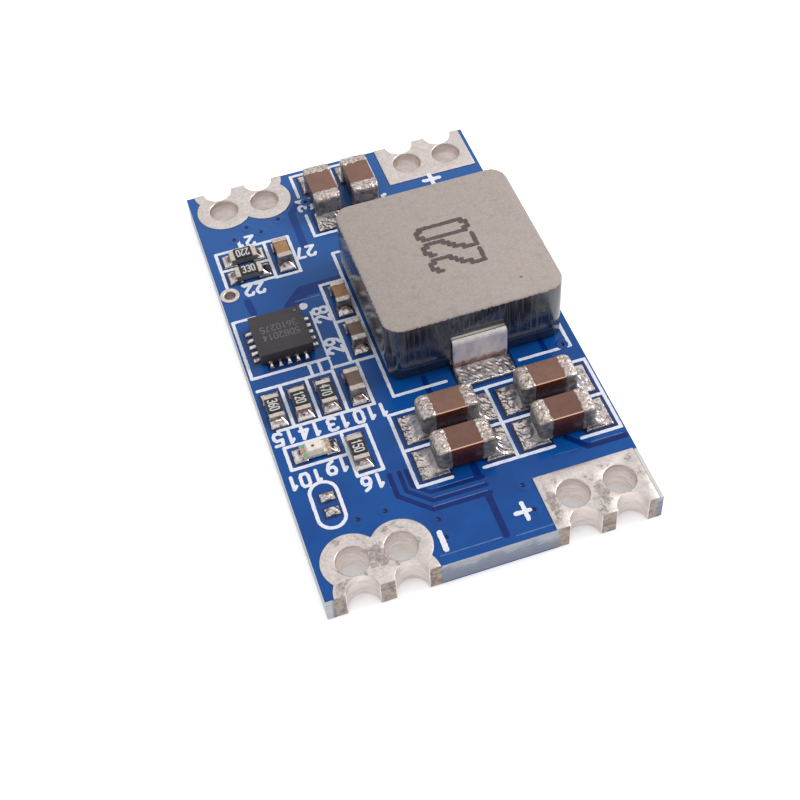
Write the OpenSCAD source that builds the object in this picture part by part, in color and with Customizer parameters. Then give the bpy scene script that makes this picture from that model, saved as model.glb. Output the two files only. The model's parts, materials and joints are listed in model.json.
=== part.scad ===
// Step-down (buck) converter module on a small double-sided board: a moulded power
// inductor, a leadless controller, chip capacitors and resistors, an indicator lamp,
// and four plated terminals with through holes and half holes in the two short edges.
// +X runs across the board, +Y towards the input end and +Z up.
// The origin is in the middle of the underside, on the plane that its lands rest on.

/* [Board] */
// Thickness of the laminate
board_t = 1.6; // [0.8:0.1:2.4]
// Width of the strip of small parts, from the left edge to the inductor
parts_strip_w = 7.2; // [7.2:0.1:12]
// Length of the output end, from the front edge to the inductor
output_zone_l = 11.8; // [11.8:0.1:18]
// Length of the input end, from the inductor to the back edge
input_zone_l = 8.25; // [8.25:0.05:14]
// Gap from the inductor to the right edge
inductor_edge_gap = 0.45; // [0.3:0.05:2]
// Thickness of the tinned copper lands on both faces
land_t = 0.05; // [0.03:0.01:0.1]

/* [Terminals] */
// Radius of the through holes, inside the plating
hole_r = 0.85; // [0.5:0.05:0.95]
// Radius of the half holes in the edges, inside the plating
notch_r = 0.85; // [0.5:0.05:0.95]
// Distance between the two holes of a terminal
hole_pitch = 2.54; // [2.4:0.02:2.8]
// Distance from a short edge to its row of through holes
hole_inset = 1.78; // [1.78:0.01:2.1]
// Distance from the left edge to the first hole
negative_hole_margin = 1.93; // [1.7:0.01:3]
// Distance from the right edge to the first hole
positive_hole_margin = 1.63; // [1.5:0.01:3]
// Thickness of the plating in holes and half holes
plating_t = 0.05; // [0.03:0.01:0.06]
// Width of the ring of land around a hole of a negative terminal
lobe_ring = 0.77; // [0.5:0.01:0.8]
// Width of the ring of land around a half hole of a negative terminal
notch_ring = 0.62; // [0.5:0.01:0.75]
// Width of a positive terminal's land
positive_land_w = 5.55; // [5:0.05:6.2]
// Depth of a positive terminal's land, from the board's edge
positive_land_d = 3.35; // [3:0.05:3.6]
// Bare strip between a positive terminal's land and the right edge
positive_land_margin = 0.22; // [0.1:0.01:0.4]

/* [Enable pad and vias] */
// Radius of the enable pad's hole
enable_hole_r = 0.32; // [0.2:0.02:0.4]
// Radius of the enable pad
enable_pad_r = 0.56; // [0.5:0.02:0.6]
// Distance of the enable pad's centre from the left edge
enable_margin = 0.57; // [0.57:0.01:1]
// Distance of the enable pad's centre from the back edge
enable_inset = 8.8; // [8.8:0.1:9.4]
// Radius of a via's bore
via_hole_r = 0.13; // [0.1:0.01:0.2]
// Thickness of a via's plating
via_wall = 0.05; // [0.03:0.01:0.07]
// Width of the ring of land around a via
via_ring = 0.09; // [0.05:0.01:0.12]
// Thickness of a via's ring of land
via_land_t = 0.03; // [0.02:0.01:0.05]
// Vias along each side of the controller's heat pad
heat_vias = 3; // [1:1:3]

/* [Inductor] */
// Width of the moulded body, across the board
inductor_w = 10.15; // [8:0.05:13]
// Length of the moulded body, along the board
inductor_l = 10.15; // [8:0.05:13]
// Height of its top above the board
inductor_h = 4; // [3.6:0.1:6]
// Radius of its upright corners
inductor_corner_r = 1.1; // [0.5:0.1:2]
// Gap under the body
inductor_standoff = 0.1; // [0.06:0.01:0.2]
// Height of the parting line above the board
parting_h = 0.9; // [0.6:0.1:1.5]
// How far the body draws in below the parting line
lower_draft = 0.12; // [0.05:0.01:0.2]
// Height and set-back of the broken top edge
top_edge = 0.1; // [0.05:0.01:0.2]
// Width of a terminal strip
strip_w = 3.1; // [2:0.1:4.5]
// Thickness of a terminal strip
strip_t = 0.18; // [0.1:0.01:0.25]
// Height above the board of a strip's top face where it leaves the body
strip_exit_h = 2.18; // [1.9:0.01:2.4]
// How far a strip stands out of the body
strip_out = 0.25; // [0.2:0.01:0.4]
// Outer radius of a strip's bends
strip_bend_r = 0.3; // [0.26:0.01:0.45]
// Length of the foot that turns in under the body
foot_l = 1.5; // [0.8:0.1:2]
// Depth of the pocket above each strip
pocket_d = 0.2; // [0.1:0.01:0.3]
// How much wider than its strip the pocket is at the top, each side
pocket_flare = 0.15; // [0.05:0.01:0.3]
// How far an inductor land reaches past the body
strip_land_out = 1.55; // [1:0.05:1.6]
// How much wider than its strip an inductor land is, each side
strip_land_side = 0.08; // [0:0.01:0.2]
// Height of the solder against the outside of a strip, above its bend
strip_fillet_h = 0.2; // [0.1:0.01:0.4]
// Turns of flat wire in the winding
turns = 6; // [4:1:9]
// Height of the flat wire
wire_h = 0.3; // [0.2:0.01:0.34]
// Width of the flat wire
wire_w = 1.9; // [1:0.1:2.2]
// Gap between turns, which the insulation fills
turn_gap = 0.03; // [0.02:0.01:0.05]
// Wall of moulding outside the winding's tails, which is how deep each strip reaches in
winding_wall = 0.9; // [0.7:0.05:1.2]
// How far the winding's tails reach past its turns
tail_l = 0.3; // [0.2:0.05:0.6]
// How much narrower than its strip a tail is, each side
tail_side = 0.4; // [0.1:0.05:0.8]

/* [Controller] */
// Side of the controller's square body
controller_w = 3; // [2.5:0.1:3.4]
// Height of the controller
controller_h = 0.78; // [0.6:0.02:1]
// Contacts on each side
contacts = 5; // [3:1:5]
// Gap between one side's last contact and the inner ends of the next side's contacts, along the side
contact_corner_gap = 0.035; // [0.02:0.005:0.2]
// Width of a contact
contact_w = 0.25; // [0.18:0.01:0.3]
// Length of a contact under the body
contact_l = 0.34; // [0.25:0.01:0.4]
// Height of a contact's plated end
contact_h = 0.2; // [0.1:0.01:0.25]
// Side of the heat pad
heat_pad_w = 1.7; // [1.2:0.1:1.8]
// How far the controller's lands reach past its body
contact_land_out = 0.36; // [0.2:0.01:0.4]
// Radius of the dimple that marks the first contact
dimple_r = 0.14; // [0.08:0.01:0.2]
// Distance of the dimple's centre from the two nearest sides
dimple_inset = 0.45; // [0.3:0.05:0.8]
// Depth of that dimple
dimple_d = 0.03; // [0.02:0.01:0.05]

/* [Chip parts] */
// Length of the small chips
small_l = 1.6; // [1.4:0.05:1.95]
// Width of the small chips
small_w = 0.85; // [0.7:0.05:1.05]
// Height of a chip resistor
resistor_h = 0.47; // [0.35:0.01:0.6]
// Thickness of a resistor's dark overcoat
coat_t = 0.03; // [0.02:0.01:0.05]
// Bare strip beside the overcoat, each side
coat_side = 0.02; // [0.01:0.01:0.08]
// Height of a small capacitor
small_cap_h = 0.8; // [0.6:0.05:1]
// Width of the bands of metal at the ends of the small chips
small_band = 0.3; // [0.2:0.01:0.4]
// Length of the large capacitors
large_l = 3.2; // [2.8:0.1:3.85]
// Width of the large capacitors
large_w = 1.6; // [1.2:0.1:1.95]
// Height of the large capacitors
large_h = 1.6; // [1:0.1:2.5]
// Width of the bands of metal at the ends of the large capacitors
large_band = 0.6; // [0.4:0.05:0.8]
// Thickness of the metal on the chips' ends
metal_t = 0.04; // [0.02:0.01:0.05]
// Radius of the chips' edges
chip_edge_r = 0.06; // [0.03:0.01:0.07]
// How far a small chip's lands reach past its ends
small_land_out = 0.42; // [0.25:0.01:0.45]
// How far a large capacitor's lands reach past its ends
large_land_out = 0.92; // [0.5:0.01:0.95]
// How much wider than its chip a land is, each side
land_side = 0.05; // [0:0.01:0.08]
// How much wider than its capacitor a large land is, each side
large_land_side = 0.15; // [0:0.01:0.2]
// Height of a solder fillet, as a share of its chip's height
fillet_share = 0.6; // [0.3:0.05:0.8]
// Thickness of the film of solder on a land
fillet_toe = 0.04; // [0.02:0.01:0.06]

/* [Lamp] */
// Length of the lamp
lamp_l = 1.6; // [1.4:0.05:1.95]
// Width of the lamp
lamp_w = 0.8; // [0.7:0.05:1]
// Height of the lamp's base
lamp_base_h = 0.3; // [0.2:0.01:0.4]
// Length of the lamp's lens
lens_l = 1.15; // [0.9:0.05:1.2]
// Height of the lamp's lens
lens_h = 0.32; // [0.26:0.01:0.5]
// How much shorter the lens is at its top, each end
lens_slope = 0.06; // [0.02:0.01:0.1]
// Side of the lit chip inside the lens
die_w = 0.24; // [0.15:0.01:0.3]
// Height of the lit chip
die_h = 0.12; // [0.08:0.01:0.15]
// Distance of the lit chip from the middle of the lens
die_shift = 0.12; // [0:0.01:0.2]

/* [Layout] */
// Distance from the left edge to the middle of the controller
controller_x = 2.48; // [2.48:0.01:2.7]
// Distance of the controller's middle behind the middle of the inductor
controller_shift = 0.18; // [0:0.01:0.3]
// Distance from the left edge to the first of the four front chips
row_x = 0.8; // [0.75:0.01:0.9]
// Distance between neighbours of the three front resistors
row_pitch = 1.46; // [1.4:0.01:1.5]
// Distance from the last front resistor to the front capacitor
row_cap_step = 1.6; // [1.4:0.01:1.65]
// Distance of the four front chips' middles from the front edge
row_inset = 12.3; // [12.3:0.01:12.5]
// Gap from the inductor to the column of two bypass capacitors
bypass_gap = 0.3; // [0.2:0.01:0.5]
// Distance between the two bypass capacitors
bypass_pitch = 3.05; // [2.8:0.05:3.2]
// Distance of the bypass capacitors' middle behind the controller's middle
bypass_shift = 0.17; // [0:0.01:0.3]
// Distance of the two back resistors' middles from the left edge
back_chip_x = 2.06; // [1.8:0.01:2.1]
// Distance of the back chips' middle from the back edge
back_chip_inset = 6.85; // [6.8:0.01:6.9]
// Distance between the two back resistors
back_chip_pitch = 1.4; // [1.3:0.01:1.5]
// Distance from the back resistors to the back capacitor
back_cap_step = 2.22; // [2.2:0.01:2.4]
// Distance of the lamp's middle from the left edge
lamp_x = 2.12; // [1.6:0.01:2.2]
// Distance of the lamp's middle from the front edge
lamp_inset = 8.88; // [8.6:0.01:9.2]
// Distance from the lamp to its resistor
lamp_resistor_step = 2.1; // [2:0.01:2.4]
// Distance of the lamp resistor's middle from the front edge
lamp_resistor_inset = 8.1; // [8:0.01:8.6]
// Distance of the jumper lands' middle from the left edge
jumper_x = 1.86; // [1:0.01:3]
// Distance of the first jumper land from the front edge
jumper_inset = 5.9; // [5.6:0.01:6.6]
// Distance between the two jumper lands
jumper_pitch = 0.96; // [0.8:0.01:1.2]
// Width of a jumper land, across the board
jumper_land_w = 0.74; // [0.5:0.01:1]
// Length of a jumper land, along the board
jumper_land_l = 0.5; // [0.3:0.01:0.7]
// Height of the solder on a jumper land
jumper_dome_h = 0.2; // [0.1:0.01:0.24]
// Gap from the output capacitors' lands to the right edge
output_cap_margin = 0.47; // [0.3:0.01:1]
// Gap between the lands of neighbouring output capacitors, across
output_cap_gap = 0.49; // [0.3:0.01:1]
// Gap between the two rows of output capacitors
output_row_gap = 0.85; // [0.4:0.01:1]
// Distance of the middle of the output capacitors from the front edge
output_cap_inset = 7.3; // [7.2:0.01:7.4]
// Distance from the right edge to the middle of the first input capacitor
input_cap_margin = 7.6; // [7.55:0.01:8]
// Distance between the two input capacitors
input_cap_pitch = 2.35; // [2.3:0.01:3]
// Gap from the input capacitors' lands to the back edge
input_cap_inset = 0.62; // [0.3:0.01:1]

/* [Hidden] */
CHIP_RESISTORS = 6;
SMALL_CAPS = 4;
INPUT_CAPS = 2;
OUTPUT_CAPS = 4;
END_NAMES = ["in_negative", "in_positive", "out_negative", "out_positive"];
function named(stem, n, tail) = [for (i = [1:n]) str(stem, "_", i, "_", tail)];

$fn = 32;
tiny = 0.01;
board_w = parts_strip_w + inductor_w + inductor_edge_gap;
board_l = output_zone_l + inductor_l + input_zone_l;
left = -board_w / 2;
right = board_w / 2;
front = -board_l / 2;
back = board_l / 2;
board_z = land_t;                  // underside of the laminate
top_z = board_z + board_t;         // top of the laminate
land_z = top_z + land_t;           // top of the upper lands, where the parts sit

barrel_r = hole_r + plating_t;
notch_barrel_r = notch_r + plating_t;
negative_xs = [for (i = [0, 1]) left + negative_hole_margin + i * hole_pitch];
positive_xs = [for (i = [0, 1]) right - positive_hole_margin - i * hole_pitch];
all_xs = concat(negative_xs, positive_xs);

// Vias past the negative lands: [distance from the left edge, distance past the land]
land_reach = hole_inset + hole_r + lobe_ring;
INPUT_VIAS = [[1.88, 1.07], [2.82, 0.3], [3.56, 0.97], [4.8, 0.3]];
OUTPUT_VIAS = [[2.92, 0.62], [4.37, 0.65]];
// Vias between the output lands: distances from the front edge, and from the land beside them
NEGATIVE_SIDE_VIAS = [1.49, 2.63];
POSITIVE_SIDE_VIAS = [1.54, 3.13];
via_side_step = 0.63;
// A via beside the first input capacitor and one in front of the inductor's right corner
capacitor_via_step = [0.25, 0.27];
corner_via_step = [0.45, 0.6];
contact_pitch = (controller_w - 2 * contact_l - contact_w - 2 * contact_corner_gap) / (contacts - 1);
heat_via_pitch = (heat_pad_w - 2 * (via_hole_r + via_wall + via_ring)) / max(heat_vias - 1, 1);
via_r = via_hole_r + via_wall;
signal_vias = concat(
    [for (v = INPUT_VIAS) [left + v[0], back - land_reach - v[1]]],
    [for (v = OUTPUT_VIAS) [left + v[0], front + land_reach + v[1]]],
    [for (y = NEGATIVE_SIDE_VIAS) [negative_xs[1] + hole_r + lobe_ring + via_side_step, front + y]],
    [for (y = POSITIVE_SIDE_VIAS) [right - positive_land_margin - positive_land_w - via_side_step, front + y]],
    [[right - inductor_edge_gap - corner_via_step[0], front + output_zone_l - corner_via_step[1]]],
    [[right - input_cap_margin - input_cap_pitch - large_w / 2 - capacitor_via_step[0],
      back - input_cap_inset - large_l / 2 - large_land_out + capacitor_via_step[1]]]);

inductor_at = [right - inductor_edge_gap - inductor_w / 2, front + output_zone_l + inductor_l / 2];
controller_at = [left + controller_x, inductor_at[1] + controller_shift];
heat_via_at = [for (i = [0:heat_vias - 1], j = [0:heat_vias - 1])
    controller_at + heat_via_pitch * [i - (heat_vias - 1) / 2, j - (heat_vias - 1) / 2]];

// Every chip: [x, y, turn], with its ends along X at turn 0
row_xs = concat([for (i = [0:2]) row_x + i * row_pitch], [row_x + 2 * row_pitch + row_cap_step]);
row = [for (x = row_xs) [left + x, front + row_inset, 90]];
back_chip_y = back - back_chip_inset;
RESISTORS = [
    [left + back_chip_x, back_chip_y + back_chip_pitch / 2, 0],
    [left + back_chip_x, back_chip_y - back_chip_pitch / 2, 0],
    row[2], row[1], row[0],
    [left + lamp_x + lamp_resistor_step, front + lamp_resistor_inset, 90]];
bypass_x = inductor_at[0] - inductor_w / 2 - bypass_gap - small_w / 2;
SMALL_CAP_PLACES = [
    [left + back_chip_x + back_cap_step, back_chip_y, 90],
    [bypass_x, controller_at[1] + bypass_shift + bypass_pitch / 2, 90],
    [bypass_x, controller_at[1] + bypass_shift - bypass_pitch / 2, 90],
    row[3]];
large_half = large_l / 2 + large_land_out;
output_xs = [right - output_cap_margin - 3 * large_half - output_cap_gap,
             right - output_cap_margin - large_half];
output_row = large_w + output_row_gap;
OUTPUT_CAP_PLACES = [for (s = [1, -1], x = output_xs)
    [x, front + output_cap_inset + s * output_row / 2, 0]];
INPUT_CAP_PLACES = [for (i = [1, 0])
    [right - input_cap_margin - i * input_cap_pitch, back - input_cap_inset - large_half, 90]];
lamp_place = [left + lamp_x, front + lamp_inset, 0];
jumper_places = [for (i = [0, 1]) [left + jumper_x, front + jumper_inset - i * jumper_pitch]];

// ---- Flat shapes -----------------------------------------------------------------------

module rounded_rect(w, l, r) {
    square([w - 2 * r, l], center = true);
    square([w, l - 2 * r], center = true);
    for (sx = [-1, 1], sy = [-1, 1]) translate([sx * (w / 2 - r), sy * (l / 2 - r)]) circle(r);
}

// A quarter of a ring, whose bend runs from +X to +Y
module quarter_ring(outer, inner) {
    intersection() {
        difference() {
            circle(outer);
            circle(inner);
        }
        square(outer + tiny);
    }
}

// Side view of solder on a land: a film as far as reach, with a hollow fillet up the face at X = 0
module fillet_profile(reach, rise) {
    hollow_r = min(reach, rise - fillet_toe);
    square([reach, fillet_toe]);
    difference() {
        square([hollow_r, fillet_toe + hollow_r]);
        translate([hollow_r, fillet_toe + hollow_r]) circle(hollow_r, $fn = 48);
    }
}

// ---- Helpers for standing and placing ---------------------------------------------------

// Extrudes a side view, drawn in X and Z, across w in Y
module across(w) {
    translate([0, w / 2, 0]) rotate([90, 0, 0]) linear_extrude(w) children();
}

// Extrudes an end view, drawn in Y and Z, along l in X
module along(l) {
    translate([-l / 2, 0, 0]) rotate([90, 0, 90]) linear_extrude(l) children();
}

module at_chip(place) {
    translate([place[0], place[1], land_z]) rotate(place[2]) children();
}

// A block whose twelve edges are rounded
module soft_block(l, w, h, r) {
    intersection() {
        linear_extrude(h) rounded_rect(l, w, r);
        translate([0, 0, h / 2]) across(w) rounded_rect(l, h, r);
        translate([0, 0, h / 2]) along(l) rounded_rect(w, h, r);
    }
}

module block(l, w, h) {
    translate([-l / 2, -w / 2, 0]) cube([l, w, h]);
}

// ---- Board -----------------------------------------------------------------------------

module board_outline() {
    translate([left, front]) square([board_w, board_l]);
}

module notch_discs(r) {
    for (x = all_xs, y = [front, back]) translate([x, y]) circle(r);
}

module printed_board() {
    color([0.12, 0.3, 0.62])
    translate([0, 0, board_z]) linear_extrude(board_t) difference() {
        board_outline();
        for (x = all_xs, s = [-1, 1]) translate([x, s * (board_l / 2 - hole_inset)]) circle(barrel_r);
        notch_discs(notch_barrel_r);
        translate([left + enable_margin, back - enable_inset]) circle(enable_hole_r + plating_t);
        for (v = concat(signal_vias, heat_via_at)) translate(v) circle(via_r);
    }
}

// ---- Terminals -------------------------------------------------------------------------

module negative_land(side) {
    for (x = negative_xs) {
        translate([x, side * (board_l / 2 - hole_inset)]) circle(hole_r + lobe_ring);
        translate([x, side * board_l / 2]) circle(notch_r + notch_ring);
    }
    translate([negative_xs[0], side * (board_l / 2 - hole_inset / 2)])
        translate([0, -hole_inset / 2]) square([hole_pitch, hole_inset]);
}

module positive_land(side) {
    translate([right - positive_land_margin - positive_land_w / 2,
               side * (board_l / 2 - positive_land_d / 2)])
        square([positive_land_w, positive_land_d], center = true);
}

module terminal_bores(xs, side) {
    for (x = xs) {
        translate([x, side * (board_l / 2 - hole_inset)]) circle(hole_r);
        translate([x, side * board_l / 2]) circle(notch_r);
    }
}

// One terminal: a land on each face, joined by the plating of two holes and two half holes
module terminal(xs, side) {
    for (z = [0, top_z]) translate([0, 0, z]) linear_extrude(land_t) difference() {
        intersection() {
            children();
            board_outline();
        }
        terminal_bores(xs, side);
    }
    linear_extrude(land_z) intersection() {
        difference() {
            for (x = xs) {
                translate([x, side * (board_l / 2 - hole_inset)]) circle(barrel_r);
                translate([x, side * board_l / 2]) circle(notch_barrel_r);
            }
            terminal_bores(xs, side);
        }
        board_outline();
    }
}

module negative_terminal(side) {
    color([0.82, 0.78, 0.74]) terminal(negative_xs, side) negative_land(side);
}

module positive_terminal(side) {
    color([0.82, 0.78, 0.74]) terminal(positive_xs, side) positive_land(side);
}

module enable_pad() {
    color([0.82, 0.78, 0.74]) translate([left + enable_margin, back - enable_inset, 0]) difference() {
        union() {
            for (z = [0, top_z]) translate([0, 0, z]) cylinder(land_t, r = enable_pad_r);
            cylinder(land_z, r = enable_hole_r + plating_t);
        }
        translate([0, 0, -1]) cylinder(land_z + 2, r = enable_hole_r);
    }
}

// A plated barrel with a ring of land on each of the faces in ring_zs
module via(ring_zs) {
    difference() {
        union() {
            translate([0, 0, board_z]) cylinder(board_t, r = via_r);
            for (z = ring_zs) translate([0, 0, z]) cylinder(via_land_t, r = via_r + via_ring);
        }
        translate([0, 0, -1]) cylinder(land_z + 2, r = via_hole_r);
    }
}

// The heat vias open into the controller's heat land, which takes the place of their upper rings
module vias() {
    color([0.1, 0.22, 0.45]) {
        for (v = signal_vias) translate(v) via([board_z - via_land_t, top_z]);
        for (v = heat_via_at) translate(v) via([board_z - via_land_t]);
    }
}

// ---- Lands under the parts --------------------------------------------------------------

// The two lands of a chip: they start under its ends and reach past them
module chip_lands(l, w, band, out, side) {
    for (s = [-1, 1]) translate([s * (l / 2 + (out - band) / 2), 0])
        square([band + out, w + 2 * side], center = true);
}

module contact_lands() {
    reach = contact_l + contact_land_out;
    for (turn = [0:90:270], i = [0:contacts - 1]) rotate(turn)
        translate([controller_w / 2 + contact_land_out - reach / 2, contact_pitch * (i - (contacts - 1) / 2)])
            square([reach, contact_w], center = true);
    square(heat_pad_w, center = true);
}

module strip_lands() {
    for (s = [-1, 1])
        translate([0, s * (inductor_l / 2 + (strip_land_out - foot_l) / 2)])
            square([strip_w + 2 * strip_land_side, strip_land_out + foot_l], center = true);
}

module flat_at(place) {
    translate([place[0], place[1]]) rotate(place[2]) children();
}

module component_lands() {
    color([0.8, 0.78, 0.74]) translate([0, 0, top_z]) linear_extrude(land_t) difference() {
        land_shapes();
        for (v = heat_via_at) translate(v) circle(via_hole_r);
    }
}

module land_shapes() {
        for (p = concat(RESISTORS, SMALL_CAP_PLACES)) flat_at(p)
            chip_lands(small_l, small_w, small_band, small_land_out, land_side);
        for (p = concat(INPUT_CAP_PLACES, OUTPUT_CAP_PLACES)) flat_at(p)
            chip_lands(large_l, large_w, large_band, large_land_out, large_land_side);
        flat_at(lamp_place) chip_lands(lamp_l, lamp_w, small_band, small_land_out, land_side);
        translate(controller_at) contact_lands();
        translate(inductor_at) strip_lands();
        for (p = jumper_places) translate(p) square([jumper_land_w, jumper_land_l], center = true);
}

// ---- Inductor --------------------------------------------------------------------------

// Everything here is drawn about the inductor's middle, with Z from the board's top face
module at_inductor() {
    translate([inductor_at[0], inductor_at[1], top_z]) children();
}

// Upright view of the body: drawn in below the parting line, and broken at the top edge
module body_profile(w) {
    polygon([
        [-w / 2 + lower_draft, inductor_standoff], [w / 2 - lower_draft, inductor_standoff],
        [w / 2, parting_h], [w / 2, inductor_h - top_edge], [w / 2 - top_edge, inductor_h],
        [-w / 2 + top_edge, inductor_h], [-w / 2, inductor_h - top_edge], [-w / 2, parting_h]]);
}

// Side view of a terminal strip: Y runs outwards from the body's face, Z up from the board
module strip_profile() {
    bend_y = strip_out - strip_bend_r;
    bend_inner = strip_bend_r - strip_t;
    foot_z = land_t + strip_bend_r;
    shank_z = strip_exit_h - strip_bend_r;
    translate([-winding_wall, strip_exit_h - strip_t]) square([winding_wall + bend_y, strip_t]);
    translate([bend_y, shank_z]) quarter_ring(strip_bend_r, bend_inner);
    translate([strip_out - strip_t, foot_z]) square([strip_t, shank_z - foot_z]);
    translate([bend_y, foot_z]) mirror([0, 1]) quarter_ring(strip_bend_r, bend_inner);
    translate([-foot_l, land_t]) square([foot_l + bend_y, strip_t]);
}

// The strip at the back face
module strip() {
    translate([0, inductor_l / 2, 0]) along(strip_w) strip_profile();
}

// The sloping pocket in the body's back face, above the strip
module pocket() {
    top_w = strip_w / 2 + pocket_flare;
    exit_w = strip_w / 2 + 0.02;
    pocket_top = inductor_h - top_edge;
    intersection() {
        translate([0, inductor_l / 2 - pocket_d / 2, 0]) across(2 * pocket_d)
            polygon([[-exit_w, strip_exit_h], [exit_w, strip_exit_h],
                     [top_w, pocket_top], [-top_w, pocket_top]]);
        translate([0, inductor_l / 2, 0]) along(2 * top_w)
            polygon([[-pocket_d, strip_exit_h], [tiny, strip_exit_h], [tiny, pocket_top], [0, pocket_top]]);
    }
}

tail_end = inductor_l / 2 - winding_wall;
winding_r = tail_end - tail_l;
winding_h = turns * wire_h + (turns - 1) * turn_gap;
winding_z = (inductor_h + inductor_standoff - winding_h) / 2;
insulation_side = 0.05;

// The stacked turns of flat wire in their insulation, with a tail to the inner end of each strip
module winding() {
    translate([0, 0, winding_z]) rotate_extrude($fn = 64) translate([winding_r - wire_w, 0]) {
        for (i = [0:turns - 1]) translate([0, i * (wire_h + turn_gap)]) square([wire_w, wire_h]);
        translate([insulation_side, 0]) square([wire_w - 2 * insulation_side, winding_h]);
    }
    tail_w = strip_w - 2 * tail_side;
    root = winding_r - wire_w / 2;
    for (s = [0, 1]) mirror([0, s, 0])
        translate([-tail_w / 2, root, strip_exit_h - strip_t]) cube([tail_w, tail_end - root, strip_t]);
}

module inductor_body() {
    color([0.66, 0.62, 0.58]) at_inductor() difference() {
        intersection() {
            linear_extrude(inductor_h) rounded_rect(inductor_w, inductor_l, inductor_corner_r);
            across(inductor_l) body_profile(inductor_w);
            along(inductor_w) body_profile(inductor_l);
        }
        winding();
        for (s = [0, 1]) mirror([0, s, 0]) {
            strip();
            pocket();
        }
    }
}

module inductor_winding() {
    color([0.72, 0.42, 0.2]) at_inductor() winding();
}

module inductor_front_strip() {
    color([0.7, 0.69, 0.7]) at_inductor() mirror([0, 1, 0]) strip();
}

module inductor_rear_strip() {
    color([0.7, 0.69, 0.7]) at_inductor() strip();
}

// ---- Controller ------------------------------------------------------------------------

module at_controller() {
    translate([controller_at[0], controller_at[1], land_z]) children();
}

module contact_set() {
    for (turn = [0:90:270], i = [0:contacts - 1]) rotate(turn)
        translate([controller_w / 2 - contact_l, contact_pitch * (i - (contacts - 1) / 2) - contact_w / 2, 0])
            cube([contact_l, contact_w, contact_h]);
    block(heat_pad_w, heat_pad_w, contact_h);
}

module controller_body() {
    mark = controller_w / 2 - dimple_inset;
    color([0.2, 0.19, 0.22]) at_controller() difference() {
        block(controller_w, controller_w, controller_h);
        contact_set();
        translate([mark, mark, controller_h - dimple_d]) cylinder(1, r = dimple_r);
    }
}

module controller_contacts() {
    color([0.8, 0.79, 0.77]) at_controller() contact_set();
}

// ---- Chip resistors and capacitors --------------------------------------------------------

// The ceramic of a chip, which fills the metal cups on its ends
module chip_core(l, w, h) {
    translate([0, 0, metal_t]) block(l - 2 * metal_t, w - 2 * metal_t, h - 2 * metal_t);
}

// The metal cups on a capacitor's ends
module cup_pair(l, w, h, band) {
    difference() {
        soft_block(l, w, h, chip_edge_r);
        translate([0, 0, -1]) block(l - 2 * band, w + 1, h + 2);
        chip_core(l, w, h);
    }
}

// A resistor's slab is as wide as its ends, which wrap over the top, end face and bottom
module slab(l, w, h) {
    translate([0, 0, metal_t]) block(l - 2 * metal_t, w, h - 2 * metal_t - coat_t);
}

module clip_pair(l, w, h, band) {
    difference() {
        translate([0, 0, (h - coat_t) / 2]) across(w) rounded_rect(l, h - coat_t, chip_edge_r);
        translate([0, 0, -1]) block(l - 2 * band, w + 1, h + 2);
        slab(l, w, h);
    }
}

module resistor_body(i) {
    color([0.62, 0.62, 0.66]) at_chip(RESISTORS[i]) slab(small_l, small_w, resistor_h);
}

module resistor_ends(i) {
    color([0.86, 0.82, 0.76]) at_chip(RESISTORS[i]) clip_pair(small_l, small_w, resistor_h, small_band);
}

module resistor_coats() {
    color([0.08, 0.08, 0.09]) for (p = RESISTORS) at_chip(p)
        translate([0, 0, resistor_h - metal_t - coat_t])
            block(small_l - 2 * small_band, small_w - 2 * coat_side, metal_t + coat_t);
}

module small_cap_body(i) {
    color([0.62, 0.45, 0.3]) at_chip(SMALL_CAP_PLACES[i]) chip_core(small_l, small_w, small_cap_h);
}

module small_cap_ends(i) {
    color([0.86, 0.82, 0.76]) at_chip(SMALL_CAP_PLACES[i])
        cup_pair(small_l, small_w, small_cap_h, small_band);
}

module large_cap_body(place) {
    color([0.5, 0.38, 0.32]) at_chip(place) chip_core(large_l, large_w, large_h);
}

module large_cap_ends(place) {
    color([0.78, 0.75, 0.7]) at_chip(place) cup_pair(large_l, large_w, large_h, large_band);
}

// ---- Lamp ------------------------------------------------------------------------------

module lamp_die() {
    color([0.85, 0.8, 0.4]) at_chip(lamp_place)
        translate([-die_shift, 0, lamp_base_h]) block(die_w, die_w, die_h);
}

module lamp_base() {
    color([0.93, 0.92, 0.88]) at_chip(lamp_place) translate([0, 0, metal_t])
        block(lamp_l - 2 * metal_t, lamp_w, lamp_base_h - metal_t);
}

// The ends wrap under the base, up its end faces and onto its top as far as the lens
module lamp_ends() {
    top_l = (lamp_l - lens_l) / 2;
    color([0.85, 0.75, 0.55]) at_chip(lamp_place) for (s = [0, 1]) mirror([s, 0, 0]) {
        translate([lamp_l / 2 - small_band, -lamp_w / 2, 0]) cube([small_band, lamp_w, metal_t]);
        translate([lamp_l / 2 - metal_t, -lamp_w / 2, 0]) cube([metal_t, lamp_w, lamp_base_h + metal_t]);
        translate([lamp_l / 2 - top_l, -lamp_w / 2, lamp_base_h]) cube([top_l, lamp_w, metal_t]);
    }
}

module lamp_lens() {
    color([0.96, 0.93, 0.84]) at_chip(lamp_place) translate([0, 0, lamp_base_h]) difference() {
        across(lamp_w) polygon([
            [-lens_l / 2, 0], [lens_l / 2, 0], [lens_l / 2, metal_t],
            [lens_l / 2 - lens_slope, lens_h], [-lens_l / 2 + lens_slope, lens_h], [-lens_l / 2, metal_t]]);
        translate([-die_shift, 0, 0]) block(die_w, die_w, die_h);
    }
}

// ---- Solder ----------------------------------------------------------------------------

// The two fillets of a chip, from its end faces to its lands' outer edges
module end_fillets(l, w, h, out) {
    for (s = [0, 1]) mirror([s, 0, 0])
        translate([l / 2, 0, 0]) across(w) fillet_profile(out, h * fillet_share);
}

module small_solder(places, l, w, h) {
    color([0.85, 0.84, 0.82]) for (p = places) at_chip(p) end_fillets(l, w, h, small_land_out);
}

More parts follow.
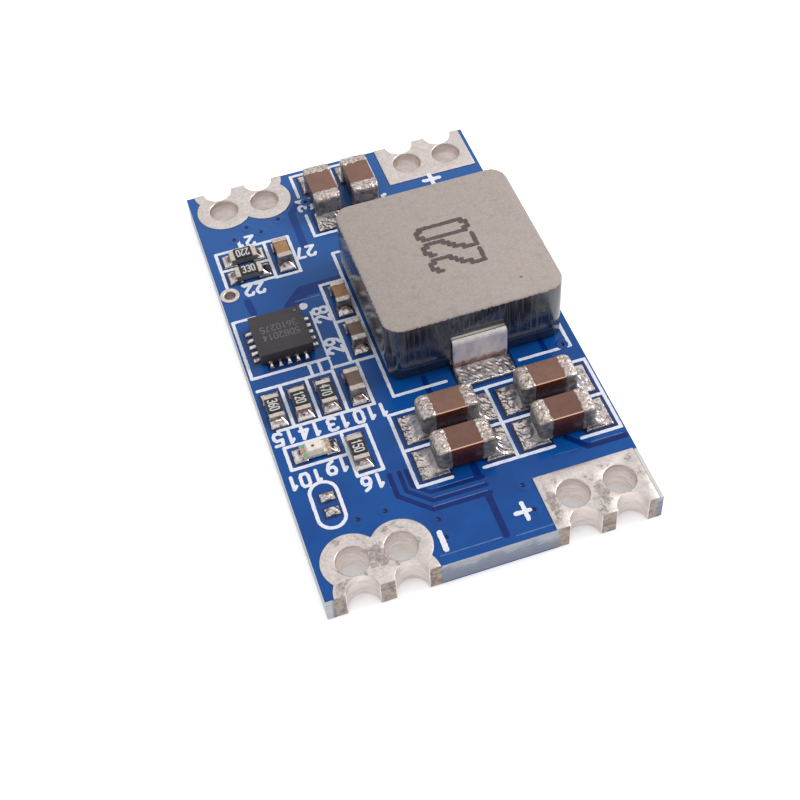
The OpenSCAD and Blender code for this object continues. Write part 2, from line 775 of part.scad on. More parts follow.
module large_solder(places) {
    color([0.85, 0.84, 0.82]) for (p = places) at_chip(p)
        end_fillets(large_l, large_w, large_h, large_land_out);
}

module controller_solder() {
    color([0.85, 0.84, 0.82]) at_controller()
        for (turn = [0:90:270], i = [0:contacts - 1]) rotate(turn)
            translate([controller_w / 2, contact_pitch * (i - (contacts - 1) / 2), 0])
                across(contact_w) fillet_profile(contact_land_out, contact_h);
}

// The lower outside of a strip, which the solder wraps
module strip_heel() {
    heel_h = 2 * strip_bend_r + strip_fillet_h;
    translate([-foot_l, 0]) square([foot_l + strip_out - strip_bend_r, heel_h]);
    translate([strip_out - strip_bend_r, strip_bend_r]) circle(strip_bend_r);
    translate([strip_out - strip_bend_r, strip_bend_r]) square([strip_bend_r, heel_h - strip_bend_r]);
}

module inductor_solder() {
    heel_y = inductor_l / 2 + strip_out - strip_bend_r;
    reach = inductor_l / 2 + strip_land_out - heel_y;
    color([0.85, 0.84, 0.82]) translate([inductor_at[0], inductor_at[1], land_z])
        for (s = [0, 1]) mirror([0, s, 0]) difference() {
            translate([0, heel_y, 0]) along(strip_w + 2 * strip_land_side) {
                square([strip_bend_r, strip_bend_r + strip_fillet_h]);
                fillet_profile(reach, strip_bend_r + strip_fillet_h);
                translate([strip_bend_r, 0])
                    fillet_profile(reach - strip_bend_r, strip_bend_r + strip_fillet_h);
            }
            translate([0, inductor_l / 2, 0]) along(strip_w + 4 * strip_land_side) strip_heel();
        }
}

// A low dome of solder on each jumper land
module jumper_solder() {
    dome_r = (pow(jumper_land_w / 2, 2) + pow(jumper_dome_h, 2)) / (2 * jumper_dome_h);
    color([0.85, 0.84, 0.82]) for (p = jumper_places) translate([p[0], p[1], land_z]) intersection() {
        translate([0, 0, jumper_dome_h - dome_r]) sphere(dome_r, $fn = 48);
        block(jumper_land_w, jumper_land_l, jumper_dome_h);
    }
}

// ---- Which pieces are drawn ---------------------------------------------------------------

printed_board();
enable_pad();
vias();
component_lands();
negative_terminal(1);  // in_negative_terminal
positive_terminal(1);  // in_positive_terminal
negative_terminal(-1);  // out_negative_terminal
positive_terminal(-1);  // out_positive_terminal
inductor_body();
inductor_winding();
inductor_front_strip();
inductor_rear_strip();
controller_body();
controller_contacts();
for (i = [0:CHIP_RESISTORS - 1]) {
    resistor_body(i);
    resistor_ends(i);
}
resistor_coats();
for (i = [0:SMALL_CAPS - 1]) {
    small_cap_body(i);
    small_cap_ends(i);
}
for (i = [0:INPUT_CAPS - 1]) {
    large_cap_body(INPUT_CAP_PLACES[i]);
    large_cap_ends(INPUT_CAP_PLACES[i]);
}
for (i = [0:OUTPUT_CAPS - 1]) {
    large_cap_body(OUTPUT_CAP_PLACES[i]);
    large_cap_ends(OUTPUT_CAP_PLACES[i]);
}
lamp_base();
lamp_ends();
lamp_lens();
lamp_die();
controller_solder();
inductor_solder();
large_solder(INPUT_CAP_PLACES);  // input_capacitor_solder
large_solder(OUTPUT_CAP_PLACES);  // output_capacitor_solder
small_solder(SMALL_CAP_PLACES, small_l, small_w, small_cap_h);  // small_capacitor_solder
small_solder(RESISTORS, small_l, small_w, resistor_h);  // resistor_solder
small_solder([lamp_place], lamp_l, lamp_w, lamp_base_h);  // lamp_solder
jumper_solder();
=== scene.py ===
"""Small voltage converter module: surfaces, solder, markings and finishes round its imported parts."""

import json
import math
from typing import NamedTuple

import bmesh
import bpy
import numpy as np
from bpy.props import FloatProperty, FloatVectorProperty, PointerProperty, StringProperty
from mathutils import Matrix, Vector, noise


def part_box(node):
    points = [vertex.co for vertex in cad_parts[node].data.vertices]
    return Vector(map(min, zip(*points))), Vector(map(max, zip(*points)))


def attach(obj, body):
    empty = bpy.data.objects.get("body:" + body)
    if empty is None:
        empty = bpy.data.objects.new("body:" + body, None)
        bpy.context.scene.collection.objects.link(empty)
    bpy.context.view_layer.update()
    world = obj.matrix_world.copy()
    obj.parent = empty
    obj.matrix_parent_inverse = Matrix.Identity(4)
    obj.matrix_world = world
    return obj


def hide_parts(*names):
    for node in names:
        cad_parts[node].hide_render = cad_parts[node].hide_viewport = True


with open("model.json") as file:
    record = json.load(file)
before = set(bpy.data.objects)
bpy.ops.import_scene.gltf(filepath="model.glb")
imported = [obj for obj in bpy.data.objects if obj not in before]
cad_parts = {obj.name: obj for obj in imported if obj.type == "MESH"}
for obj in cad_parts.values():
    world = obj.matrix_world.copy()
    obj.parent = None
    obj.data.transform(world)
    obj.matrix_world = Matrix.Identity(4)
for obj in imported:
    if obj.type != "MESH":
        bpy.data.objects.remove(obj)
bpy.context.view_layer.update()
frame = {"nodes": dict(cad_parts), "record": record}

bl_info = {
    "name": "Converter Module",
    "version": (1, 0, 0),
    "blender": (4, 5, 0),
    "location": "View3D > Sidebar > Module",
    "description": "Builds the surfaces, solder, markings and finishes of a voltage converter module",
    "category": "Object",
}

MM = 0.001


# Places taken from the frame, in millimetres


def box_mm(node):
    """Lowest and highest corner of a CAD node, in millimetres."""
    lo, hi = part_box(node)
    return lo / MM, hi / MM


def islands(node):
    """Boxes, in millimetres, of the separate solids inside a CAD node, from left to right."""
    mesh = frame["nodes"][node].data
    keys = {}
    merged = [keys.setdefault(tuple(round(c / MM, 4) for c in v.co), len(keys)) for v in mesh.vertices]
    parent = list(range(len(keys)))

    def root(i):
        while parent[i] != i:
            parent[i] = parent[parent[i]]
            i = parent[i]
        return i

    for face in mesh.polygons:
        first = root(merged[face.vertices[0]])
        for i in face.vertices:
            parent[root(merged[i])] = first
    groups = {}
    for key, i in keys.items():
        groups.setdefault(root(i), []).append(key)
    boxes = [(Vector(np.min(g, axis=0)), Vector(np.max(g, axis=0))) for g in groups.values()]
    return sorted(boxes, key=lambda b: (round(b[0].x, 2), round(b[0].y, 2)))


BOARD_LO, BOARD_HI = box_mm("printed_board")
MASK_Z = BOARD_HI.z
LAND_Z = box_mm("component_lands")[1].z
LANDS = islands("component_lands")
BORES = [mount for mount in frame["record"]["mounts"] if mount["kind"] == "bore"]
HOLES = [(bore["pos_m"][0] / MM, bore["pos_m"][1] / MM, bore["dims"]["r_mm"]) for bore in BORES]
TERMINALS = ("in_negative_terminal", "in_positive_terminal", "out_negative_terminal", "out_positive_terminal")
ENABLE_RADIUS = 0.32


def middle_of(lo, hi):
    """Where the middle of a box lies, seen from above."""
    return (lo.x + hi.x) / 2, (lo.y + hi.y) / 2


def land_under(lo, hi):
    """The land that lies under the middle of a box."""
    x, y = middle_of(lo, hi)
    for land in LANDS:
        if land[0].x <= x <= land[1].x and land[0].y <= y <= land[1].y:
            return land
    raise RuntimeError(f"no land lies under ({x:.2f}, {y:.2f})")


# Settings


def colour(name, red, green, blue, description):
    """A display colour that the user may change, given as three numbers up to 255."""
    return FloatVectorProperty(
        name=name,
        description=description,
        subtype="COLOR_GAMMA",
        size=3,
        min=0.0,
        max=1.0,
        default=(red / 255, green / 255, blue / 255),
    )


def length(name, millimetres, description):
    """A size that the user may change, given in millimetres."""
    return FloatProperty(
        name=name,
        description=description,
        subtype="DISTANCE",
        unit="LENGTH",
        min=0.0,
        precision=6,
        default=millimetres * MM,
    )


def degrees(name, value, description):
    """An angle that the user may change, given in degrees."""
    return FloatProperty(
        name=name, description=description, subtype="ANGLE", unit="ROTATION", default=math.radians(value)
    )


def linear(display):
    """A display colour as the linear colour that a shader takes."""
    return tuple(c / 12.92 if c <= 0.04045 else ((c + 0.055) / 1.055) ** 2.4 for c in display) + (1.0,)


# Meshes

SHARP_ANGLE = 40.0
BEND_ANGLE = 25.0
FLAT_ANGLE = 0.5
WELD = 0.0005
STEEPEST = 1.05


def lump(point, size, seed=0.0):
    """Smooth noise from -1 to 1 with hills about size across."""
    return noise.noise(Vector(point) / size + Vector((seed, seed * 1.7, seed * 0.3)))


class Shape:
    """Points and faces of one piece, in millimetres."""

    def __init__(self):
        self.points = []
        self.faces = []
        self.lines = 0

    def layer(self):
        """A small rise that differs from line to line, so that no two painted faces lie in one plane."""
        self.lines += 1
        return 0.0002 * (self.lines % 61)

    def add(self, points, faces):
        first = len(self.points)
        self.points.extend(points)
        self.faces.extend(tuple(first + i for i in face) for face in faces)

    def make(self, name, finish, slot, stands_for=()):
        """Turns the points into a piece that rides on the board."""
        mesh = bpy.data.meshes.new(name)
        mesh.from_pydata([tuple(c * MM for c in p) for p in self.points], [], self.faces)
        mesh.validate()
        return place(name, mesh, finish, slot, stands_for)


def place(name, mesh, finish, slot, stands_for=()):
    """Shows a mesh as a piece of the module, smooth but for its sharp edges."""
    mesh.shade_smooth()
    mesh.set_sharp_from_angle(angle=math.radians(SHARP_ANGLE))
    mesh.materials.clear()
    mesh.materials.append(finish)
    piece = bpy.data.objects.new(name, mesh)
    bpy.context.scene.collection.objects.link(piece)
    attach(piece, "root")
    if stands_for:
        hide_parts(*stands_for)
    return piece


def finish_node(node, finish):
    """Gives a CAD node its finish."""
    mesh = frame["nodes"][node].data
    mesh.materials.clear()
    mesh.materials.append(finish)


def softened(node, name, finish, slot, width, segments=2, rims=(), rim_width=0.0, merge=True):
    """A copy of a CAD node's outer skin with its edges rounded by width, and its hole rims by rim_width."""
    work = bmesh.new()
    work.from_mesh(frame["nodes"][node].data)
    bmesh.ops.remove_doubles(work, verts=work.verts, dist=WELD * MM)
    keep_outer_skin(work)
    if merge:
        bmesh.ops.dissolve_limit(
            work, angle_limit=math.radians(FLAT_ANGLE), verts=work.verts, edges=work.edges, delimit={"NORMAL"}
        )
    for on_rims, reach in ((False, width), (True, rim_width)):
        bends = [e for e in work.edges if len(e.link_faces) == 2]
        bends = [e for e in bends if e.calc_face_angle(0.0) > math.radians(BEND_ANGLE)]
        bends = [e for e in bends if any(on_rim(e, *rim) for rim in rims) == on_rims]
        if bends:
            bmesh.ops.bevel(
                work,
                geom=bends,
                offset=reach * MM,
                offset_type="OFFSET",
                segments=segments,
                profile=0.5,
                affect="EDGES",
                clamp_overlap=True,
            )
    mesh = bpy.data.meshes.new(name)
    work.to_mesh(mesh)
    work.free()
    return place(name, mesh, finish, slot, [node])


def on_rim(edge, x, y, radius):
    """Whether an edge is part of a level circle round an upright axis."""
    a, b = (v.co / MM for v in edge.verts)
    level = abs(a.z - b.z) < 0.01
    return level and all(abs(math.hypot(p.x - x, p.y - y) - radius) < 0.01 for p in (a, b))


def keep_outer_skin(work):
    """Deletes every connected skin whose box lies strictly inside another's."""
    work.verts.ensure_lookup_table()
    seen = set()
    groups = []
    for start in work.verts:
        if start.index in seen:
            continue
        stack = [start]
        seen.add(start.index)
        group = []
        while stack:
            vert = stack.pop()
            group.append(vert)
            for edge in vert.link_edges:
                other = edge.other_vert(vert)
                if other.index not in seen:
                    seen.add(other.index)
                    stack.append(other)
        corners = np.array([v.co for v in group])
        groups.append((corners.min(0), corners.max(0), group))
    for lo, hi, group in groups:
        if any(np.all(a < lo) and np.all(b > hi) for a, b, _ in groups):
            bmesh.ops.delete(work, geom=group, context="VERTS")


def corner_spacing(lo, hi, radius, cell, turns):
    """Grid places along one side of a rounded block, close together where its ends turn."""
    bend = [radius * (1 - math.tan(math.pi / 4 * (1 - i / turns))) for i in range(turns)]
    middle = max(1, round((hi - lo - 2 * radius) / cell))
    places = [lo + b for b in bend]
    places += [lo + radius + (hi - lo - 2 * radius) * i / middle for i in range(middle + 1)]
    return places + [hi - b for b in reversed(bend)]


def rounded_block(shape, lo, hi, radius, cell, turns=3, move=None):
    """A block with rounded edges and a fine even grid, each point moved by move(point, normal)."""
    axes = [corner_spacing(lo[a], hi[a], radius, cell, turns) for a in range(3)]
    last = [len(a) - 1 for a in axes]
    index = {}
    points = []
    faces = []

    def corner(key):
        if key not in index:
            p = Vector([axes[a][key[a]] for a in range(3)])
            q = Vector([min(max(p[a], lo[a] + radius), hi[a] - radius) for a in range(3)])
            normal = (p - q).normalized()
            p = q + normal * radius
            index[key] = len(points)
            points.append(move(p, normal) if move else p)
        return index[key]

    for a in range(3):
        b, c = (a + 1) % 3, (a + 2) % 3
        for side in (0, last[a]):
            for i in range(last[b]):
                for j in range(last[c]):
                    loop = []
                    for di, dj in ((0, 0), (1, 0), (1, 1), (0, 1)):
                        key = [0, 0, 0]
                        key[a], key[b], key[c] = side, i + di, j + dj
                        loop.append(corner(tuple(key)))
                    faces.append(loop if side else loop[::-1])
    shape.add(points, faces)


def resample(points, step, closed):
    """The same path with no two points further apart than step."""
    ends = list(zip(points, points[1:] + points[:1] if closed else points[1:]))
    path = []
    for a, b in ends:
        count = max(1, math.ceil((b - a).length / step))
        path.extend(a.lerp(b, i / count) for i in range(count))
    return path if closed else path + [points[-1]]


def ribbon(shape, points, width, z, height, closed=False, ragged=0.0, step=0.14, seed=0.0):
    """A flat painted line along a path on the board, with round ends and corners."""
    if not closed and len(points) > 2:
        for i, run in enumerate(zip(points, points[1:])):
            ribbon(shape, run, width, z, height, False, ragged, step, seed + i * 0.37)
        return
    path = resample([Vector(p) for p in points], step, closed)
    count = len(path)
    half = width / 2
    sections = []
    for i, p in enumerate(path):
        before = path[i - 1] if i or closed else None
        after = path[(i + 1) % count] if i < count - 1 or closed else None
        turns = []
        if before is not None:
            turns.append((p - before).normalized())
        if after is not None:
            turns.append((after - p).normalized())
        along = sum(turns, Vector((0, 0))).normalized()
        side = Vector((-along.y, along.x))
        reach = min(1.5, 1 / max(0.5, along.dot(turns[0])))
        sections.append((p, side, half * reach))
    if not closed:
        rounds = ((1.0, 0.3), (0.85, 0.6), (0.5, 0.88), (0.0, 1.0))
        for end, sign in ((0, -1), (-1, 1)):
            p, side, reach = sections[end]
            out = Vector((side.y, -side.x)) * sign
            caps = [(p + out * (half * a), side, half * b) for a, b in rounds]
            sections = caps + sections[1:] if end == 0 else sections[:-1] + caps[::-1]
    verts = []
    top = z + height + shape.layer()
    for p, side, reach in sections:
        left = p + side * (reach + ragged * lump((p.x, p.y, 0), 0.12, seed + 3))
        right = p - side * (reach + ragged * lump((p.x, p.y, 5), 0.12, seed + 7))
        verts += [(left.x, left.y, top), (right.x, right.y, top), (right.x, right.y, z), (left.x, left.y, z)]
    faces = []
    total = len(sections)
    for i in range(total if closed else total - 1):
        a, b = 4 * i, 4 * ((i + 1) % total)
        for k in range(4):
            n = (k + 1) % 4
            faces.append((a + k, a + n, b + n, b + k))
    if not closed:
        faces.append((3, 2, 1, 0))
        e = 4 * (total - 1)
        faces.append((e, e + 1, e + 2, e + 3))
    shape.add(verts, faces)


def disc(shape, x, y, radius, z, height):
    """A flat painted dot."""
    sides = 20
    height += shape.layer()
    turns = np.linspace(0, 2 * math.pi, sides + 1)[:-1]
    ring = [(x + radius * math.cos(a), y + radius * math.sin(a)) for a in turns]
    verts = [(u, v, z + height) for u, v in ring] + [(u, v, z) for u, v in ring]
    faces = [tuple(range(sides)), tuple(reversed(range(sides, 2 * sides)))]
    faces += [(i, i + sides, (i + 1) % sides + sides, (i + 1) % sides) for i in range(sides)]
    shape.add(verts, faces)


def turned(shape, x, y, profile):
    """A skin turned round an upright axis, from pairs of radius and height."""
    sides = 24
    points = []
    for radius, z in profile:
        for k in range(sides):
            angle = 2 * math.pi * k / sides
            points.append((x + radius * math.cos(angle), y + radius * math.sin(angle), z))
    faces = []
    for row in range(len(profile) - 1):
        for k in range(sides):
            a, b = row * sides + k, row * sides + (k + 1) % sides
            faces.append((a, b, b + sides, a + sides))
    shape.add(points, faces)


STROKES = {
    "0": [[(0.2, 0), (0, 0.2), (0, 0.8), (0.2, 1), (0.8, 1), (1, 0.8), (1, 0.2), (0.8, 0), (0.2, 0)]],
    "1": [[(0.2, 0.78), (0.55, 1), (0.55, 0)]],
    "2": [[(0, 0.8), (0.2, 1), (0.8, 1), (1, 0.8), (1, 0.62), (0, 0.02), (1, 0)]],
    "3": [[(0, 0.9), (0.2, 1), (0.8, 1), (1, 0.85), (1, 0.65), (0.8, 0.52), (0.4, 0.52)],
          [(0.8, 0.52), (1, 0.38), (1, 0.15), (0.8, 0), (0.2, 0), (0, 0.1)]],
    "4": [[(0.72, 0), (0.72, 1), (0, 0.3), (1, 0.3)]],
    "5": [[(1, 1), (0.1, 1), (0.02, 0.56), (0.75, 0.6), (1, 0.42), (1, 0.18), (0.8, 0), (0.2, 0), (0, 0.12)]],
    "6": [[(0.85, 1), (0.3, 0.82), (0, 0.42), (0, 0.2), (0.2, 0), (0.8, 0), (1, 0.2), (1, 0.38), (0.8, 0.55),
           (0.25, 0.55), (0.02, 0.4)]],
    "7": [[(0, 1), (1, 1), (0.35, 0)]],
    "8": [[(0.2, 0.52), (0, 0.68), (0, 0.86), (0.2, 1), (0.8, 1), (1, 0.86), (1, 0.68), (0.8, 0.52),
           (0.2, 0.52), (0, 0.36), (0, 0.15), (0.2, 0), (0.8, 0), (1, 0.15), (1, 0.36), (0.8, 0.52)]],
    "9": [[(0.15, 0), (0.7, 0.18), (1, 0.58), (1, 0.8), (0.8, 1), (0.2, 1), (0, 0.8), (0, 0.62), (0.2, 0.45),
           (0.75, 0.45), (0.98, 0.6)]],
}


def number(shape, digits, centre, height, width, pitch, turn, stroke, z, thick):
    """A plain number drawn with strokes, centred on a place and turned by an angle in degrees."""
    spin = Matrix.Rotation(math.radians(turn), 2)
    start = -pitch * (len(digits) - 1) / 2 - width / 2
    for i, digit in enumerate(digits):
        for line in STROKES[digit]:
            path = []
            for u, v in line:
                at = Vector((start + i * pitch + u * width, (v - 0.5) * height))
                path.append(spin @ at + Vector(centre))
            ribbon(shape, path, stroke, z, thick, step=0.5)


def smooth_least(a, b):
    """The lesser of two heights, blended where they meet."""
    return a * b / math.hypot(a, b) if a > 0 and b > 0 else 0.0


class Bed(NamedTuple):
    """How solder lies on a land, in millimetres."""

    film: float  # depth of its flat part
    cell: float  # step of its grid
    ripple: float  # height of its wrinkles
    edge: float  # width of its rounded edge
    climb: float = 0.0  # height that it reaches against the chip end
    hollow: float = 1.0  # distance from the chip end at which it starts to climb
    still: float = 0.16  # distance from the chip end within which the wrinkles die down


def solder_bed(shape, land, chip, bed, seed):
    """Solder over a land: a rounded film that rises in a hollow curve against the chip end standing on it."""
    (x0, y0), (x1, y1) = land[0].xy, land[1].xy
    edge_x = edge_y = bed.edge
    if chip:
        spare_x = max(chip[0].x - x0, x1 - chip[1].x)
        spare_y = max(chip[0].y - y0, y1 - chip[1].y)
        if spare_x > spare_y:
            edge_y *= 2
        else:
            edge_x *= 2
    xs = np.linspace(x0, x1, max(6, round((x1 - x0) / bed.cell)) + 1)
    ys = np.linspace(y0, y1, max(6, round((y1 - y0) / bed.cell)) + 1)
    nx, ny = len(xs), len(ys)
    points = []
    for x in xs:
        for y in ys:
            from_x = 1 - min((x - x0) / edge_x, (x1 - x) / edge_x, 1)
            from_y = 1 - min((y - y0) / edge_y, (y1 - y) / edge_y, 1)
            round_off = math.sqrt(max(0.0, 1 - from_x**2 - from_y**2))
            height = bed.film * round_off
            calm = 1.0
            if chip:
                dx = max(chip[0].x - x, 0, x - chip[1].x)
                dy = max(chip[0].y - y, 0, y - chip[1].y)
                gap = math.hypot(dx, dy)
                rise = max(0.0, 1 - gap / bed.hollow) ** 2
                calm = min(1.0, gap / bed.still) ** 2
                from_edge = min(x - x0, x1 - x, y - y0, y1 - y)
                height += smooth_least((bed.climb - bed.film) * rise, from_edge * STEEPEST)
            slant = (x * 0.8 + y * 0.6, (y * 0.8 - x * 0.6) * 0.45, 0)
            grain = lump((x, y, 0), 0.3, seed) * 0.5 + lump(slant, 0.12, seed + 11) * 0.8
            points.append((x, y, LAND_Z + height + bed.ripple * grain * round_off * calm))
    faces = [
        (i * ny + j, (i + 1) * ny + j, (i + 1) * ny + j + 1, i * ny + j + 1)
        for i in range(nx - 1)
        for j in range(ny - 1)
    ]
    rim = [i * ny for i in range(nx)] + [(nx - 1) * ny + j for j in range(1, ny)]
    rim += [i * ny + ny - 1 for i in range(nx - 2, -1, -1)] + [j for j in range(ny - 2, 0, -1)]
    foot = len(points)
    points += [(points[i][0], points[i][1], LAND_Z - 0.01) for i in rim]
    turns = len(rim)
    faces += [(rim[k], foot + k, foot + (k + 1) % turns, rim[(k + 1) % turns]) for k in range(turns)]
    faces.append(tuple(foot + k for k in reversed(range(turns))))
    shape.add(points, faces)


# Finishes


class Nodes:
    """A tree of shader nodes, and short ways to add to it."""

    def __init__(self, owner):
        owner.use_nodes = True
        self.tree = owner.node_tree

    def node(self, kind, **settings):
        made = self.tree.nodes.new(kind)
        for key, value in settings.items():
            setattr(made, key, value)
        return made

    def link(self, a, b):
        self.tree.links.new(a, b)

    def feed(self, socket, value):
        """Links a node's output to a socket, or sets a plain value on it."""
        if isinstance(value, bpy.types.NodeSocket):
            self.link(value, socket)
        else:
            socket.default_value = value

    def between(self, value, lo, hi, to_lo=0.0, to_hi=1.0, ends="SMOOTHSTEP"):
        """The value spread from one range to another, with soft ends."""
        made = self.node("ShaderNodeMapRange", interpolation_type=ends)
        self.link(value, made.inputs["Value"])
        for socket, level in (("From Min", lo), ("From Max", hi), ("To Min", to_lo), ("To Max", to_hi)):
            made.inputs[socket].default_value = level
        return made.outputs["Result"]

    def math(self, operation, a, b=0.0):
        made = self.node("ShaderNodeMath", operation=operation)
        self.feed(made.inputs[0], a)
        self.feed(made.inputs[1], b)
        return made.outputs[0]

    def mix(self, share, a, b, **settings):
        """A colour between two, each a node's output, a display colour or four linear values."""
        made = self.node("ShaderNodeMix", data_type="RGBA", **settings)
        self.feed(made.inputs[0], share)
        for socket, shade in ((made.inputs[6], a), (made.inputs[7], b)):
            ready = isinstance(shade, bpy.types.NodeSocket) or len(shade) == 4
            self.feed(socket, shade if ready else linear(shade))
        return made.outputs[2]


class Finish(Nodes):
    """A surface material and the nodes that vary it over the surface, in millimetres."""

    def __init__(self, name, base, roughness, metallic=0.0, **sockets):
        self.material = bpy.data.materials.new(name)
        super().__init__(self.material)
        self.shader = self.tree.nodes["Principled BSDF"]
        sockets |= {"Base_Color": linear(base), "Roughness": roughness, "Metallic": metallic}
        for socket, value in sockets.items():
            self.shader.inputs[socket.replace("_", " ")].default_value = value
        scale = self.node("ShaderNodeVectorMath", operation="SCALE")
        scale.inputs["Scale"].default_value = 1 / MM
        self.link(self.node("ShaderNodeTexCoord").outputs["Object"], scale.inputs[0])
        self.place = scale.outputs[0]

    def stretched(self, x, y, z):
        """The place on the surface, counted faster along some axes than others."""
        made = self.node("ShaderNodeVectorMath", operation="MULTIPLY")
        self.link(self.place, made.inputs[0])
        made.inputs[1].default_value = (x, y, z)
        return made.outputs[0]

    def grain(self, size, detail=2.0, roughness=0.5, distortion=0.0, at=None):
        """Cloudy noise from 0 to 1 with patches about size millimetres across."""
        made = self.node("ShaderNodeTexNoise")
        made.inputs["Scale"].default_value = 1 / size
        made.inputs["Detail"].default_value = detail
        made.inputs["Roughness"].default_value = roughness
        made.inputs["Distortion"].default_value = distortion
        self.link(at or self.place, made.inputs["Vector"])
        return made.outputs[0]

    def near(self, x, y, reach_x, reach_y, ragged):
        """1 inside an upright oval round a place, 0 outside, with an edge blurred by a noise."""
        flat = self.stretched(1 / reach_x, 1 / reach_y, 0.0)
        away = self.node("ShaderNodeVectorMath", operation="DISTANCE")
        self.link(flat, away.inputs[0])
        away.inputs[1].default_value = (x / reach_x, y / reach_y, 0.0)
        return self.between(self.math("ADD", away.outputs["Value"], ragged), 1.3, 1.7, 1.0, 0.0)

    def crystals(self, size):
        """Rounded cells about size millimetres across, 0 at their middles."""
        made = self.node("ShaderNodeTexVoronoi")
        made.inputs["Scale"].default_value = 1 / size
        self.link(self.place, made.inputs["Vector"])
        return made.outputs["Distance"]

    def axis(self, letter, normal=False):
        """The place along one axis in millimetres, or the surface normal along it."""
        made = self.node("ShaderNodeSeparateXYZ")
        source = self.node("ShaderNodeNewGeometry").outputs["True Normal"] if normal else self.place
        self.link(source, made.inputs[0])
        return made.outputs[letter]

    def paint(self, shade):
        self.link(shade, self.shader.inputs["Base Color"])

    def dull(self, value):
        self.link(value, self.shader.inputs["Roughness"])

    def metal(self, value):
        self.link(value, self.shader.inputs["Metallic"])

    def bump(self, height, depth, strength=1.0):
        """Raises the surface by height times depth millimetres."""
        made = self.node("ShaderNodeBump")
        made.inputs["Strength"].default_value = strength
        made.inputs["Distance"].default_value = depth * MM
        self.link(height, made.inputs["Height"])
        earlier = self.shader.inputs["Normal"].links
        if earlier:
            self.link(earlier[0].from_socket, made.inputs["Normal"])
        self.link(made.outputs["Normal"], self.shader.inputs["Normal"])


def darker(display, share):
    """The same display colour with less light in it."""
    return tuple(c * share for c in display)


def clouded_blue(f, clouds, deep, shade, back_lit_shade):
    """Two blues in clouds, with painted light that pales the blue towards the back of the board."""
    blue = f.mix(f.between(clouds, 0.35, 0.7), shade, deep)
    # Painted light: further back along Y the blue turns paler.
    back = f.math("ADD", f.axis("Y"), f.between(clouds, 0.3, 0.7, -2.5, 2.5))
    return f.mix(f.between(back, -8.0, 14.0, 0.0, 0.75), blue, back_lit_shade)


def mask_finish(look):
    """Glossy blue solder mask above and below, bare glass laminate round the edges."""
    f = Finish("solder_mask", look.mask, 0.2, Specular_IOR_Level=0.3)
    clouds = f.grain(3.0, 3.0)
    blue = clouded_blue(f, clouds, look.mask_deep, look.mask, look.mask_back_lit)
    dust = f.between(f.crystals(1.3), 0.012, 0.03, 0.55, 0.0)
    blue = f.mix(dust, blue, look.mask_dust)
    margin = f.between(f.axis("X"), box_mm("out_positive_terminal")[1].x - 0.01, BOARD_HI.x - 0.16)
    margin = f.math("MULTIPLY", margin, f.between(f.axis("Y"), -11.9, -11.75, 1.0, 0.0))
    blue = f.mix(margin, blue, look.margin)
    flat = f.between(f.math("ABSOLUTE", f.axis("Z", normal=True)), 0.4, 0.6)
    weave = f.grain(0.25, 3.0, at=f.stretched(0.3, 0.3, 2.6))
    edge = f.mix(f.between(weave, 0.3, 0.75), look.laminate, look.laminate_deep)
    # The edge faces are darker towards the bottom and paler towards the top, in ragged bands.
    ragged_height = f.math("ADD", f.axis("Z"), f.between(f.grain(1.6, 3.0, 0.5), 0.3, 0.7, -0.45, 0.45))
    edge = f.mix(f.between(ragged_height, 0.3, 1.5, 0.7, 0.0), edge, look.laminate_deep)
    edge = f.mix(f.between(ragged_height, 0.9, 1.6, 0.0, 0.5), edge, look.laminate_pale)
    edge = f.mix(f.between(f.axis("Z"), BOARD_LO.z + 0.05, BOARD_LO.z + 0.11, 0.8, 0.0), edge, look.mask_deep)
    pale = f.mix(f.between(weave, 0.3, 0.75), look.laminate_pale, darker(look.laminate_pale, 0.86))
    # Painted light: the left side of the board and the edge faces near its left end take the pale laminate,
    # as if lit from the left.
    left = f.math("MAXIMUM", f.between(f.axis("X", normal=True), -0.6, -0.4, 1.0, 0.0),
                  f.between(f.axis("X"), BOARD_LO.x + 0.25, BOARD_LO.x + 0.4, 1.0, 0.0))
    edge = f.mix(left, edge, pale)
    plated = 0.0
    for lo, hi in (box_mm("out_negative_terminal"), box_mm("out_positive_terminal")):
        middle, reach = (lo.x + hi.x) / 2, (hi.x - lo.x) / 2 - 0.12
        away = f.math("ABSOLUTE", f.math("SUBTRACT", f.axis("X"), middle))
        away = f.math("ADD", away, f.between(f.grain(0.2, 2.0), 0.3, 0.7, -0.08, 0.08))
        span = f.between(away, reach - 0.05, reach + 0.05, 1.0, 0.0)
        plated = f.math("MAXIMUM", plated, span)
    outer = f.between(f.math("ABSOLUTE", f.axis("Y")), BOARD_HI.y - 0.03, BOARD_HI.y - 0.02)
    plated = f.math("MULTIPLY", plated, outer)
    worn = f.mix(f.between(f.grain(0.3, 4.0, 0.6), 0.4, 0.65), look.edge_tin, look.edge_worn)
    f.paint(f.mix(flat, f.mix(plated, edge, worn), blue))
    f.dull(f.math("ADD", f.between(flat, 0.0, 1.0, 0.62, 0.16), f.between(clouds, 0.3, 0.7, 0.0, 0.06)))
    f.bump(f.grain(0.5, 2.0), 0.004)
    f.bump(weave, 0.02, 0.4)
    return f.material


def trench_finish(look):
    """Mask over bare laminate, where there is no copper under it."""
    f = Finish("mask_trench", look.trench, 0.22, Specular_IOR_Level=0.25)
    f.paint(clouded_blue(f, f.grain(0.8, 2.0), darker(look.trench, 0.85), look.trench, look.trench_back_lit))
    f.bump(f.grain(0.3, 2.0), 0.004)
    return f.material


def coat_finish(name, shade, roughness, low, high, size, fine, depth):
    """A thin coat, clouded between two shares of a colour and slightly uneven."""
    f = Finish(name, shade, roughness)
    f.paint(f.mix(f.between(f.grain(size), 0.35, 0.65), darker(shade, low), darker(shade, high)))
    f.bump(f.grain(fine), depth)
    return f.material


